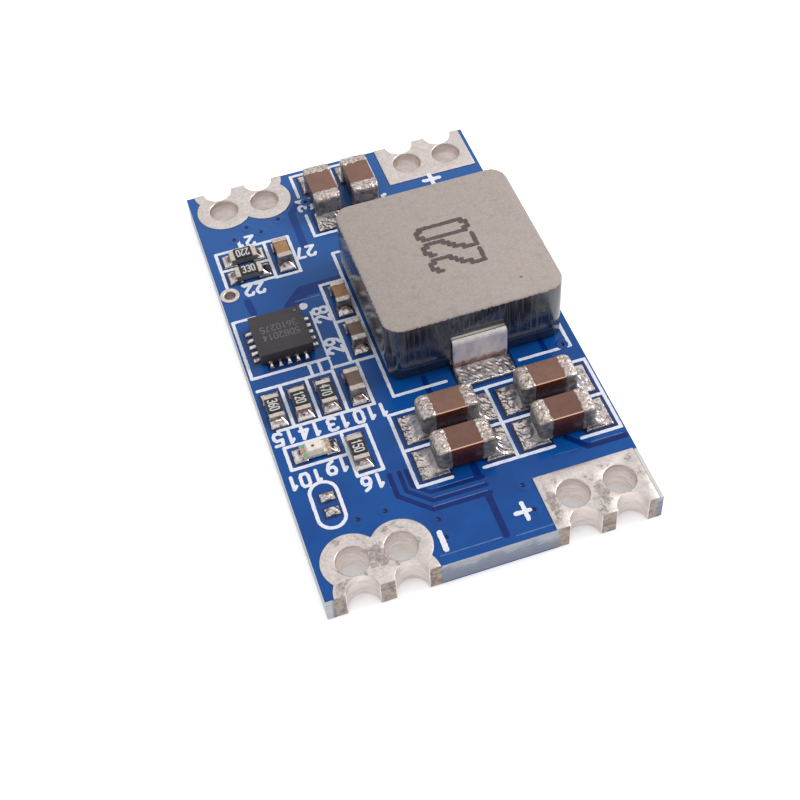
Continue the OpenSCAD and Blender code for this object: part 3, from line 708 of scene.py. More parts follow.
def via_ring_finish(look):
    """Mask over the ring round a small through hole."""
    f = Finish("via_ring", look.mask, 0.2, Specular_IOR_Level=0.3)
    f.paint(clouded_blue(f, f.grain(3.0, 3.0), look.mask_deep, look.mask, look.mask_back_lit))
    f.bump(f.grain(0.5, 2.0), 0.004)
    return f.material


def paint_finish(look):
    """White marking paint, thin and a little uneven."""
    f = Finish("marking_paint", look.paint, 0.5)
    thin = f.grain(0.22, 4.0, 0.6)
    f.paint(f.mix(f.between(thin, 0.5, 0.8), look.paint, look.paint_thin))
    f.bump(thin, 0.006)
    return f.material


WORN_PLACES = (
    (6.15, -13.7, 0.3, 0.8),
    (3.6, -13.6, 0.26, 0.9),
    (-5.7, -13.45, 0.45, 0.75),
    (-7.6, -14.6, 0.5, 0.3),
)


def tin_finish(look):
    """Bare tinned copper, satin, finely mottled and worn in patches, more so towards the front; the hole
    walls are painted a paler tin as painted light.
    """
    f = Finish("tinned_land", look.tin, 0.38, 1.0)
    mottle = f.grain(0.16, 4.0, 0.65)
    clouds = f.grain(0.9, 3.0, 0.55, 0.3)
    worn = f.between(clouds, 0.52, 0.66)
    light = f.mix(f.between(mottle, 0.36, 0.62), look.tin_dull, look.tin)
    up = f.between(f.axis("Z", normal=True), 0.6, 0.9)
    patch = f.math("MULTIPLY", worn, f.between(mottle, 0.4, 0.6))
    ragged = f.between(f.grain(0.4, 5.0, 0.7), 0.35, 0.65, 0.1, 0.9)
    for place_ in WORN_PLACES:
        rubbed = f.math("MULTIPLY", f.near(*place_, ragged), f.between(mottle, 0.35, 0.6, 0.35, 1.0))
        patch = f.math("MAXIMUM", patch, rubbed)
    front = f.between(f.axis("Y"), -1.0, 1.0, 1.0, 0.25)
    patch = f.math("MULTIPLY", patch, front)
    wall = f.grain(0.2, 2.0, 0.5, at=f.stretched(0.3, 0.3, 1.0))
    # Painted light: the walls get a paler tin than the tops of the lands.
    walls = f.mix(f.between(wall, 0.2, 0.75), look.tin_dull, look.tin_wall_lit)
    f.paint(f.mix(up, walls, f.mix(patch, light, look.tin_worn)))
    f.dull(f.between(mottle, 0.3, 0.7, 0.46, 0.32))
    f.bump(f.math("MULTIPLY", mottle, front), 0.012)
    f.bump(f.grain(0.05, 2.0), 0.004)
    return f.material


def solder_finish(look, name, shade, high_tone, wrinkle, smooth_above, flecks):
    """Bright solder, wrinkled and flecked where it is thin; higher up it is smooth, darker as painted shade
    on the flecked kinds, and in patches of a second tone: a grey painted reflection on the large parts, a
    brown on the small ones.
    """
    f = Finish(name, shade, 0.14, 1.0)
    fleck = f.grain(0.1, 3.0, 0.6)
    low = f.between(f.axis("Z"), LAND_Z + smooth_above, LAND_Z + smooth_above + 0.08, 1.0, 0.0)
    # Dull flecks in the thin solder: partly its grain, partly painted shade for the dark reflections of its
    # wrinkles.
    dull = f.between(fleck, 0.72 - flecks * 2.4, 0.95 - flecks * 2.4)
    patches = f.grain(0.4, 2.0, 0.5)
    # Painted shade and reflection: higher up, darker solder and patches of the second tone.
    climbed = f.math("MULTIPLY", f.between(f.axis("Z"), LAND_Z, LAND_Z + 0.5), 0.4)
    high_patches = f.between(f.math("ADD", patches, climbed), 0.54, 0.68)
    high = f.mix(high_patches, f.mix(low, darker(shade, 1 - flecks), shade), high_tone)
    f.paint(f.mix(f.math("MULTIPLY", dull, low), high, look.solder_dull_fleck_shade))
    sheen = f.between(fleck, 0.35, 0.75, 0.09 + flecks * 0.4, 0.15 + flecks * 0.9)
    f.dull(f.math("ADD", sheen, f.between(low, 0.0, 1.0, flecks * 1.4, 0.0)))
    f.bump(f.math("MULTIPLY", f.grain(0.1, 2.0, 0.5), f.between(low, 0.0, 1.0, 0.12, 1.0)), wrinkle)
    return f.material


def end_metal_finish(look, name, size, depth, spread):
    """Rough fired and tinned end of a chip part: pitted on top, smoother on its sides, which are painted
    greyer and darker as painted shade.
    """
    f = Finish(name, look.end_metal, 0.3, 1.0)
    grit = f.grain(size, 4.0, 0.7)
    up = f.between(f.axis("Z", normal=True), 0.1, 0.7)
    pitted = f.mix(f.between(grit, 0.5 - spread, 0.5 + spread * 0.6), look.end_dark, look.end_metal)
    blotch = f.grain(size * 2.5, 3.0, 0.6)
    # Painted shade: the sides take a darker, greyer colour than the top.
    wall = f.mix(f.between(blotch, 0.36, 0.64), darker(look.end_side_shade, 0.66), look.end_side_shade)
    f.paint(f.mix(up, wall, pitted))
    f.metal(f.between(up, 0.0, 1.0, 0.55, 1.0))
    f.dull(f.math("ADD", f.between(grit, 0.35, 0.65, 0.44, 0.26), f.between(up, 0.0, 1.0, 0.12, 0.0)))
    f.bump(f.math("MULTIPLY", grit, f.between(up, 0.0, 1.0, 0.6, 1.0)), depth)
    return f.material


def ceramic_finish(name, top, side, edge, height, roughness=0.24):
    """Fired ceramic, fine and even, ground smooth; its sides are painted darker than its top as painted
    shade, most towards the bottom, and its front top edges take the edge colour, a painted highlight.
    """
    f = Finish(name, top, roughness)
    clouds = f.grain(0.35, 3.0)
    tops = f.mix(f.between(clouds, 0.35, 0.65), top, darker(top, 0.93))
    normal = f.axis("Z", normal=True)
    up = f.between(normal, 0.3, 0.75)
    # Painted highlight: a pale line along the rounded top edges that face the front.
    rubbed = f.math("MULTIPLY", f.between(normal, 0.15, 0.2), f.between(normal, 0.96, 0.985, 1.0, 0.0))
    # Painted shade: the sides darken towards the bottom.
    high = f.between(f.axis("Z"), LAND_Z + height * 0.45, LAND_Z + height * 1.08)
    sides = f.mix(high, darker(side, 0.58), side)
    front = f.between(f.axis("Y", normal=True), -0.35, -0.15, 1.0, 0.12)
    f.paint(f.mix(f.math("MULTIPLY", rubbed, front), f.mix(up, sides, tops), edge))
    f.dull(f.between(clouds, 0.3, 0.7, roughness, roughness + 0.1))
    f.bump(f.grain(0.04, 2.0), 0.0015)
    return f.material


def plain_finish(name, base, roughness, size=0.2, depth=0.004, metallic=0.0, shade=0.85):
    """An even surface with slight clouds, grain and unevenness."""
    f = Finish(name, base, roughness, metallic)
    clouds = f.grain(size, 3.0)
    f.paint(f.mix(f.between(clouds, 0.35, 0.65), base, darker(base, shade)))
    f.dull(f.between(clouds, 0.3, 0.7, roughness * 0.85, min(1.0, roughness * 1.2)))
    f.bump(clouds, depth)
    return f.material


def moulding_finish(look, top):
    """Pressed iron powder: a ground taupe top and dark shiny sides drawn with upright streaks."""
    f = Finish("inductor_moulding", look.top, 0.6, IOR=1.9)
    speckle = f.grain(0.09, 3.0, 0.7)
    clouds = f.grain(1.6, 3.0)
    pale = f.mix(f.between(speckle, 0.36, 0.64), look.top_dark, look.top)
    pale = f.mix(f.between(clouds, 0.4, 0.7, 0.0, 0.25), pale, look.top_warm)
    pale = f.mix(f.between(f.grain(0.5, 4.0, 0.6), 0.5, 0.72, 0.0, 0.3), pale, look.top_dent)
    pale = f.mix(f.between(f.crystals(1.7), 0.01, 0.035, 0.7, 0.0), pale, look.top_speck)
    pale = f.mix(f.between(f.crystals(0.9), 0.02, 0.06, 0.6, 0.0), pale, look.top_dent)
    pale = f.mix(f.near(6.34, -1.83, 0.09, 0.06, f.grain(0.05, 2.0)), pale, look.side)
    streak = f.grain(0.12, 4.0, 0.65, at=f.stretched(1.0, 1.0, 0.06))
    broad = f.grain(0.9, 2.0, at=f.stretched(1.0, 1.0, 0.25))
    drawn = f.between(f.axis("Z"), top - 3.2, top - 2.4)
    side = f.mix(f.math("MULTIPLY", f.between(streak, 0.42, 0.66), drawn), look.side, look.side_streak)
    side = f.mix(f.between(broad, 0.4, 0.65, 0.0, 0.5), side, look.side)
    seam = f.math("ABSOLUTE", f.math("SUBTRACT", f.axis("Z"), top - 3.1))
    side = f.mix(f.between(seam, 0.02, 0.07, 0.55, 0.0), side, look.seam)
    level = f.math("ADD", f.axis("Z"), f.between(f.grain(0.14, 2.0), 0.3, 0.7, -0.018, 0.018))
    up = f.between(level, top - 0.06, top - 0.035)
    f.paint(f.mix(up, side, pale))
    f.dull(f.math("ADD", f.between(up, 0.0, 1.0, 0.1, 0.62), f.between(streak, 0.4, 0.7, 0.0, 0.12)))
    f.bump(f.math("MULTIPLY", streak, f.between(up, 0.0, 1.0, 1.0, 0.0)), 0.005)
    f.bump(speckle, 0.006)
    return f.material


def strip_finish(look, foot):
    """Dull tinned copper strip, browned where the heat of soldering reached its foot; its upward faces are
    painted pale as painted light.
    """
    f = Finish("inductor_strip", look.strip, 0.42, 0.25)
    clouds = f.grain(0.5, 3.0, at=f.stretched(1.0, 1.0, 0.5))
    fine = f.grain(0.08, 3.0, 0.6)
    plain = f.mix(f.between(clouds, 0.4, 0.62), look.strip, look.strip_dull)
    level = f.math("ADD", f.axis("Z"), f.between(clouds, 0.3, 0.7, -0.12, 0.12))
    brown = f.between(level, foot + 0.36, foot + 0.6, 1.0, 0.0)
    up = f.between(f.axis("Z", normal=True), 0.6, 0.9)
    # Painted light: the upward faces of the strips are painted pale and non-metallic.
    bare = f.mix(f.math("MULTIPLY", up, f.between(fine, 0.35, 0.5)), plain, look.strip_top_lit)
    f.paint(f.mix(brown, bare, f.mix(f.between(fine, 0.4, 0.6), look.strip_brown, look.strip_dark)))
    f.metal(f.between(up, 0.0, 1.0, 0.25, 0.0))
    f.dull(f.between(fine, 0.3, 0.7, 0.36, 0.5))
    f.bump(clouds, 0.03)
    f.bump(fine, 0.006)
    return f.material


# Settings of each group


class BoardLook(bpy.types.PropertyGroup):
    mask: colour("Mask", 4, 80, 158, "Blue of the solder mask over copper")
    mask_deep: colour("Mask, deep", 2, 70, 146, "Blue of the mask where it lies thicker")
    # Painted light: the paler blue that the mask turns towards the back of the board.
    mask_back_lit: colour("Mask, thin", 44, 98, 168, "Blue of the mask where it lies thinner")
    mask_dust: colour("Dust", 150, 180, 220, "Specks of dust in the mask")
    margin: colour("Margin", 214, 216, 206, "Bare laminate beside the land of the positive output")
    laminate: colour("Laminate", 184, 190, 204, "Bare glass laminate round the edges")
    # Pale laminate: painted light on the left side of the board, and a paler band towards the top of the edge
    # faces.
    laminate_pale: colour("Laminate, pale", 240, 242, 244, "Laminate broken off along the left side")
    laminate_deep: colour("Laminate, deep", 146, 156, 178, "Darker fibres of the laminate")
    edge_tin: colour("Plated edge", 206, 192, 180, "Tin round the edge of the board beside the half holes")
    edge_worn: colour("Plated edge, worn", 158, 142, 130, "Worn tin round the edge of the board")
    trench: colour("Trench", 2, 42, 120, "Mask where there is no copper under it")
    # Painted light: the paler blue that the trenches turn towards the back of the board.
    trench_back_lit: colour("Trench, thin", 26, 72, 150, "Mask over bare laminate where it lies thinner")
    # Pale lines along copper edges: partly thin mask, partly a painted highlight where the edge catches the
    # light.
    ridge_thin_and_lit: colour("Ridge", 84, 126, 186, "Mask that lies thin over an edge of copper")
    # Darker blue round each land: partly mask over the bare clearance, partly painted shade round the parts.
    gap: colour("Gap", 4, 46, 112, "Seam between a land and the mask")
    tin: colour("Tin", 232, 223, 218, "Bare tinned lands")
    tin_dull: colour("Tin, dull", 216, 205, 199, "Dull grain of the tinned lands")
    # Painted light: a paler tin for the walls of the holes.
    tin_wall_lit: colour("Tin, walls", 242, 233, 230, "Tin down the walls of the holes")
    tin_worn: colour("Tin, worn", 158, 149, 145, "Worn and scratched tin")
    # Painted shade: dark navy that stands for the shaded hole under the mask, on the via walls and on the
    # sagging dish.
    via_hole_shade: colour("Via", 8, 24, 84, "Mask in the mouth of the small through holes")


class MarkingLook(bpy.types.PropertyGroup):
    paint: colour("Paint", 240, 242, 252, "White marking paint")
    paint_thin: colour("Paint, thin", 190, 202, 236, "Marking paint where it is thin")
    line: length("Line width", 0.19, "Width of the marking lines")
    height: length("Paint height", 0.014, "Height of the marking paint above the mask")


class SolderLook(bpy.types.PropertyGroup):
    solder: colour("Solder", 234, 228, 226, "Bright solder")
    wrinkled: colour("Solder, wrinkled", 226, 214, 208, "Solder that set with fine wrinkles")
    # Dull flecks: partly the solder's grain, partly painted shade of its wrinkles.
    solder_dull_fleck_shade: colour("Solder, dull", 144, 137, 136, "Dull flecks in the solder")
    # Grey: painted reflection on the high solder of the large parts. Brown: the tone of the high solder of
    # the small parts.
    solder_grey_reflection: colour("Solder, grey", 158, 157, 162, "Grey solder higher up the ends of the large parts")
    solder_brown_high: colour("Solder, stained", 146, 124, 121, "Browned solder higher up the ends of the parts")
    film: length("Film", 0.06, "Depth of the solder film on a land")


class CapacitorLook(bpy.types.PropertyGroup):
    brown: colour("Brown ceramic", 132, 94, 78, "Top of the large capacitors")
    # Darker brown top for the large capacitors in the front row.
    brown_deep: colour("Brown ceramic, deep", 117, 79, 66, "Top of the large capacitors of a darker batch")
    # Painted shade: the sides are darker than the tops and darken further towards the bottom.
    brown_side_shade: colour("Brown ceramic, side", 112, 56, 28, "Sides of the large capacitors near the top")
    # Painted highlight along the front top edges of the large capacitors.
    brown_edge_highlight: colour("Brown ceramic, edge", 250, 206, 172, "Rubbed edges of the large capacitors")
    tan: colour("Tan ceramic", 176, 128, 88, "Top of the pale small capacitors")
    dark: colour("Dark ceramic", 122, 98, 84, "Top of the dark small capacitors")
    # Painted shade: darker sides of the small capacitors.
    small_side_shade: colour("Small ceramic, side", 52, 34, 26, "Sides of the small capacitors")
    end_metal: colour("Ends", 228, 215, 207, "Metal ends of the capacitors")
    end_dark: colour("Ends, dark", 140, 129, 124, "Pits in the metal ends")
    # Painted shade: darker colour for the sides of the ends.
    end_side_shade: colour("Ends, sides", 164, 158, 155, "Smoother metal down the sides of the ends")
    lumps: length("Lumps", 0.06, "Height of the lumps on the ends of the large capacitors")


class ResistorLook(bpy.types.PropertyGroup):
    glaze: colour("Glaze", 30, 30, 34, "Black glaze over the element")
    ceramic: colour("Ceramic", 112, 112, 118, "Sides of the substrate")
    end_metal: colour("Ends", 232, 220, 208, "Metal ends of the resistors")
    end_dark: colour("Ends, dark", 176, 162, 150, "Dull metal on the ends")
    # Painted shade: darker colour for the sides of the ends.
    end_side_shade: colour("Ends, sides", 200, 192, 186, "Smoother metal down the sides of the ends")
    digit: colour("Digits", 226, 224, 220, "Numbers on the glaze")
    values: StringProperty(
        name="Numbers",
        description="Number on each resistor, in the order of the parts",
        default="220 330 470 120 360 150",
    )


class InductorLook(bpy.types.PropertyGroup):
    top: colour("Top", 178, 165, 157, "Ground top of the moulding")
    top_dark: colour("Top, dark grains", 160, 148, 141, "Dark grains of the top")
    top_warm: colour("Top, warm", 176, 159, 146, "Warm clouds on the top")
    top_dent: colour("Top, dents", 132, 122, 116, "Small dents in the top")
    top_speck: colour("Top, specks", 226, 218, 210, "Pale specks in the top")
    side: colour("Sides", 33, 37, 50, "Shiny sides of the moulding")
    side_streak: colour("Sides, streaks", 78, 82, 94, "Pale upright streaks on the sides")
    seam: colour("Sides, seam", 92, 98, 112, "Line where the halves of the mould met")
    strip: colour("Strip", 240, 234, 237, "Terminal strips")
    strip_dull: colour("Strip, dull", 216, 208, 214, "Dull patches on the strips")
    # Painted light: pale colour for the upward faces of the strips.
    strip_top_lit: colour("Strip, top", 255, 250, 240, "Rough bend of the strips where they enter the moulding")
    strip_brown: colour("Strip, brown", 196, 156, 150, "Strip browned by heat")
    strip_dark: colour("Strip, dark", 150, 112, 108, "Darkest part of the browned strip")
    ink: colour("Ink", 100, 88, 88, "Printed number")
    value: StringProperty(name="Number", description="Number printed on the top", default="220")
    ink_dot: length("Dot", 0.25, "Width of the printed strokes")


class ControllerLook(bpy.types.PropertyGroup):
    case: colour("Case", 62, 58, 62, "Moulded case")
    mark: colour("Mark", 122, 116, 120, "Laser-marked numbers")
    lines: StringProperty(name="Numbers", description="Lines of marking", default="5082014 3610275")


class LampLook(bpy.types.PropertyGroup):
    base: colour("Base", 244, 232, 214, "White base")
    lens: colour("Lens", 252, 240, 228, "Milky lens")
    die: colour("Die", 70, 48, 30, "Die under the lens")
    green: colour("Mark", 96, 206, 160, "Green marks at one end")
    end_metal: colour("Ends", 222, 212, 196, "Metal ends")
    end_dark: colour("Ends, brown", 168, 130, 92, "Brown specks on the ends")
    # Painted shade: darker colour for the sides of the ends.
    end_side_shade: colour("Ends, sides", 186, 172, 152, "Sides of the metal ends")


class StageLook(bpy.types.PropertyGroup):
    floor: colour("Floor", 234, 234, 235, "Floor")
    aim: FloatVectorProperty(
        name="Aim",
        description="Place that the camera looks at",
        subtype="TRANSLATION",
        unit="LENGTH",
        default=(-1.26 * MM, -4.55 * MM, 1.65 * MM),
    )
    distance: length("Distance", 75.37, "Distance from the camera to its aim")
    azimuth: degrees("Azimuth", 14.86, "Turn of the view towards the right")
    elevation: degrees("Elevation", 50.94, "Height of the camera above the horizon")
    roll: degrees("Roll", 4.55, "Tilt of the camera about its view")
    lens: FloatProperty(name="Lens", description="Focal length in millimetres", default=63.28, min=1.0)
    shift: FloatVectorProperty(
        name="Shift", description="Shift of the picture", size=2, default=(-0.00755, -0.0006)
    )
    key: FloatProperty(name="Key", description="Power of the key light", unit="POWER", default=0.2, min=0.0)
    fill: FloatProperty(
        name="Fill", description="Power of the front panel", unit="POWER", default=0.036, min=0.0
    )
    sky: FloatProperty(name="Sky", description="Strength of the room light", default=1.0, min=0.0)


# Pieces


class MODULE_OT_stage(bpy.types.Operator):
    """Sets the camera, the lights, the room and the floor"""

    bl_idname = "module.stage"
    bl_label = "Stage"

    BRIGHT_SIDE = (0.2, 0.45, 0.87)
    ROOM_LEVELS = ((0.0, 0.14), (0.28, 0.18), (0.5, 0.45), (0.8, 0.93), (1.0, 0.88))
    FLOOR_REACH = 3.0
    SHADE_REACH = 2.5

    def execute(self, context):
        look = context.scene.module_stage
        self.camera(context, look)
        self.lights(context, look)
        self.room(context, look)
        self.floor(look)
        context.scene.view_settings.view_transform = "Standard"
        return {"FINISHED"}

    def camera(self, context, look):
        turn, rise = look.azimuth, look.elevation
        forward = Vector((math.sin(turn) * math.cos(rise), math.cos(turn) * math.cos(rise), -math.sin(rise)))
        level = Vector((math.cos(turn), -math.sin(turn), 0))
        right = math.cos(look.roll) * level - math.sin(look.roll) * level.cross(forward)
        up = right.cross(forward)
        data = bpy.data.cameras.new("camera")
        data.lens = look.lens
        data.sensor_width = 36.0
        data.shift_x, data.shift_y = look.shift
        data.clip_start = 0.005
        data.clip_end = 20.0
        camera = bpy.data.objects.new("camera", data)
        context.scene.collection.objects.link(camera)
        place_at = Vector(look.aim) - forward * look.distance
        turned_to = Matrix((right, up, -forward)).transposed().to_4x4()
        camera.matrix_world = Matrix.Translation(place_at) @ turned_to
        context.scene.camera = camera

    def lights(self, context, look):
        panels = (
            ("key_light", (0.17, 0.0, 0.14), 0.08, 0.08, look.key, (1.0, 0.985, 0.96)),
            ("front_panel", (-0.045, -0.165, 0.16), 0.2, 0.035, look.fill, (1.0, 1.0, 1.0)),
        )
        for name, spot, wide, deep, power, tint in panels:
            data = bpy.data.lights.new(name, "AREA")
            data.shape = "RECTANGLE"
            data.size, data.size_y = wide, deep
            data.energy = power
            data.color = tint
            lamp = bpy.data.objects.new(name, data)
            lamp.location = spot
            lamp.rotation_mode = "QUATERNION"
            lamp.rotation_quaternion = (-Vector(spot)).to_track_quat("-Z", "Y")
            context.scene.collection.objects.link(lamp)

    def room(self, context, look):
        """Pale above, behind, at the sides and low down, dark above the front, and white behind the part."""
        world = bpy.data.worlds.new("room")
        f = Nodes(world)
        background = f.tree.nodes["Background"]
        background.inputs["Strength"].default_value = look.sky
        toward = f.node("ShaderNodeVectorMath", operation="DOT_PRODUCT")
        toward.inputs[1].default_value = Vector(self.BRIGHT_SIDE).normalized()
        split = f.node("ShaderNodeSeparateXYZ")
        for made in (toward, split):
            f.link(f.node("ShaderNodeTexCoord").outputs["Generated"], made.inputs[0])
        ramp = f.node("ShaderNodeValToRGB")
        f.link(toward.outputs["Value"], ramp.inputs["Fac"])
        stops = ramp.color_ramp.elements
        while len(stops) < len(self.ROOM_LEVELS):
            stops.new(0.5)
        for stop, (at, level) in zip(stops, self.ROOM_LEVELS):
            stop.position = at
            stop.color = (level, level, level * 1.01, 1)
        aside = f.between(f.math("ABSOLUTE", split.outputs["X"]), 0.6, 0.85, 0.0, 0.85, "LINEAR")
        walls = f.mix(1.0, ramp.outputs["Color"], aside, blend_type="LIGHTEN")
        above = f.between(split.outputs["Z"], 0.08, 0.2, ends="LINEAR")
        walls = f.mix(above, (0.9, 0.9, 0.91, 1), walls)
        seen = f.node("ShaderNodeLightPath").outputs["Is Camera Ray"]
        f.link(f.mix(seen, walls, (1, 1, 1, 1)), background.inputs["Color"])
        context.scene.world = world

    def floor(self, look):
        """Pale paper, which keeps the part's shadow; the glow that the camera sees on it is dimmed by ambient
        occlusion, a painted shade near the part and where a hole looks down on it.
        """
        reach = self.FLOOR_REACH
        mesh = bpy.data.meshes.new("floor")
        corners = [(-reach, -reach, 0), (reach, -reach, 0), (reach, reach, 0), (-reach, reach, 0)]
        mesh.from_pydata(corners, [], [(0, 1, 2, 3)])
        f = Finish("floor_paper", look.floor, 0.9)
        f.paint(f.mix(f.between(f.grain(30.0, 2.0), 0.3, 0.7), look.floor, darker(look.floor, 0.99)))
        path = f.node("ShaderNodeLightPath")
        mirrored = f.math("MAXIMUM", path.outputs["Is Glossy Ray"], path.outputs["Is Transmission Ray"])
        # Painted shade: the camera's glow of the floor fades where ambient occlusion finds the part close by.
        hollow = f.node("ShaderNodeAmbientOcclusion", samples=8)
        hollow.inputs["Distance"].default_value = self.SHADE_REACH * MM
        open_sky = f.between(hollow.outputs["AO"], 0.2, 0.45, 0.18, 0.5)
        f.shader.inputs["Emission Color"].default_value = (1, 1, 1, 1)
        seen = f.math("MULTIPLY", path.outputs["Is Camera Ray"], open_sky)
        f.link(f.math("ADD", seen, f.math("MULTIPLY", mirrored, 0.38)), f.shader.inputs["Emission Strength"])
        mesh.materials.append(f.material)
        floor = bpy.data.objects.new("floor", mesh)
        bpy.context.scene.collection.objects.link(floor)


class MODULE_OT_board(bpy.types.Operator):
    """Finishes the board, its trenches, seams and small through holes"""

    bl_idname = "module.board"
    bl_label = "Board"

    TRENCHES = (
        ([(-3.65, -9.0), (-3.65, -10.4), (-2.2, -11.8), (0.85, -11.8)], 0.27),
        ([(-3.13, -9.0), (-3.13, -10.25), (-2.05, -11.27), (0.82, -11.27)], 0.24),
        ([(-2.76, -9.0), (-2.74, -10.05), (-2.0, -10.74), (0.82, -10.74)], 0.24),
        ([(0.68, -14.5), (0.68, -11.85)], 0.37),
        ([(0.62, -9.9), (0.62, -10.7)], 0.4),
        ([(5.75, -9.9), (6.6, -10.84), (8.7, -10.84)], 0.32),
        ([(-3.2, 8.7), (-3.2, 11.6), (-2.55, 12.4)], 0.45),
        ([(-5.2, 4.25), (-4.3, 5.15), (-1.95, 5.22)], 0.85),
        ([(-7.5, 5.5), (-7.4, 4.5)], 0.42),
        ([(0.1, -3.45), (0.1, -4.75)], 0.3),
        ([(7.0, -3.2), (7.0, -3.95)], 0.3),
    )
    RIDGES = (
        ([(-2.15, -11.63), (0.75, -11.63)], 0.05),
        ([(-1.95, -11.12), (0.75, -11.12)], 0.05),
        ([(-1.6, -10.59), (0.35, -10.59)], 0.045),
        ([(-2.8, -14.54), (0.42, -14.54)], 0.06),
        ([(1.14, -14.71), (3.15, -14.71)], 0.06),
        ([(6.85, -10.64), (8.6, -10.64)], 0.05),
        ([(4.8, -10.77), (6.0, -10.8)], 0.03),
        ([(-4.9, 4.5), (-3.5, 4.52)], 0.08),
    )
    TRENCH_TALL, SEAM_TALL, RIDGE_TALL = 0.002, 0.003, 0.004
    SEAM_REACH, SEAM_WIDTH = 0.06, 0.14
    VIA_SLOPE = ((0.15, -0.002), (0.09, 0.012), (0.03, 0.036))
    VIA_DISH = ((0.132, 0.001), (0.116, 0.02), (0.085, 0.044), (0.045, 0.06), (0.004, 0.064))

    def execute(self, context):
        look = context.scene.module_board
        finish_node("printed_board", mask_finish(look))
        tin = tin_finish(look)
        for node in TERMINALS:
            name = node.replace("terminal", "land")
            softened(node, name, tin, "tin_land", 0.02, rims=HOLES, rim_width=0.07, merge=False)
        pad = islands("enable_pad")[0]
        ring = (*middle_of(*pad), ENABLE_RADIUS)
        softened("enable_pad", "enable_land", tin, "tin_land", 0.02, 3, rims=[ring], rim_width=0.06)
        finish_node("component_lands", tin)
        # Painted shade: the via walls are painted dark navy.
        finish_node("vias", coat_finish("via_metal", look.via_hole_shade, 0.2, 0.85, 1.0, 0.1, 0.08, 0.003))
        self.via_covers(look)
        trenches = Shape()
        for path, width in self.TRENCHES:
            ribbon(trenches, path, width, MASK_Z, self.TRENCH_TALL, step=1.0)
        trenches.make("mask_trenches", trench_finish(look), "mask_blue")
        ridges = Shape()
        # Ridges along copper edges: partly thin mask, partly painted highlight.
        for path, width in self.RIDGES:
            ribbon(ridges, path, width, MASK_Z, self.RIDGE_TALL, ragged=0.01)
        thin = coat_finish("mask_ridge_thin_and_lit", look.ridge_thin_and_lit, 0.25, 1.0, 0.86, 0.4, 0.2, 0.003)
        ridges.make("mask_ridges", thin, "mask_blue")
        # Seams round the lands: partly the mask's clearance, partly painted shade round the parts.
        seams = Shape()
        reach = Vector((self.SEAM_REACH, self.SEAM_REACH))
        for lo, hi in LANDS:
            a, b = lo.xy - reach, hi.xy + reach
            corners = [a, (b.x, a.y), b, (a.x, b.y)]
            ribbon(seams, corners, self.SEAM_WIDTH, MASK_Z, self.SEAM_TALL, closed=True, step=2.0)
        gap = coat_finish("mask_gap_and_shade", look.gap, 0.35, 1.0, 0.7, 0.3, 0.15, 0.005)
        seams.make("land_seams_and_shade", gap, "mask_blue")
        return {"FINISHED"}

    def via_covers(self, look):
        """Mask that lies over the ring of each small through hole and sags into the hole, its dish painted
        dark navy as painted shade of the hole under it.
        """
        rings, dishes = Shape(), Shape()
        for lo, hi in islands("vias"):
            if hi.z < MASK_Z:
                continue
            x, y = middle_of(lo, hi)
            ring = (hi.x - lo.x) / 2
            slope = [(ring + out, MASK_Z + rise) for out, rise in self.VIA_SLOPE]
            slope += [(ring - 0.01, hi.z + 0.003), (0.15, hi.z + 0.004), (0.132, hi.z - 0.001)]
            turned(rings, x, y, slope)
            turned(dishes, x, y, [(radius, hi.z - sunk) for radius, sunk in self.VIA_DISH])
        rings.make("via_rings", via_ring_finish(look), "mask_blue")
        dish = coat_finish("via_dish_shade", look.via_hole_shade, 0.1, 0.85, 1.0, 0.1, 0.08, 0.003)
        dishes.make("via_dishes", dish, "mask_blue")


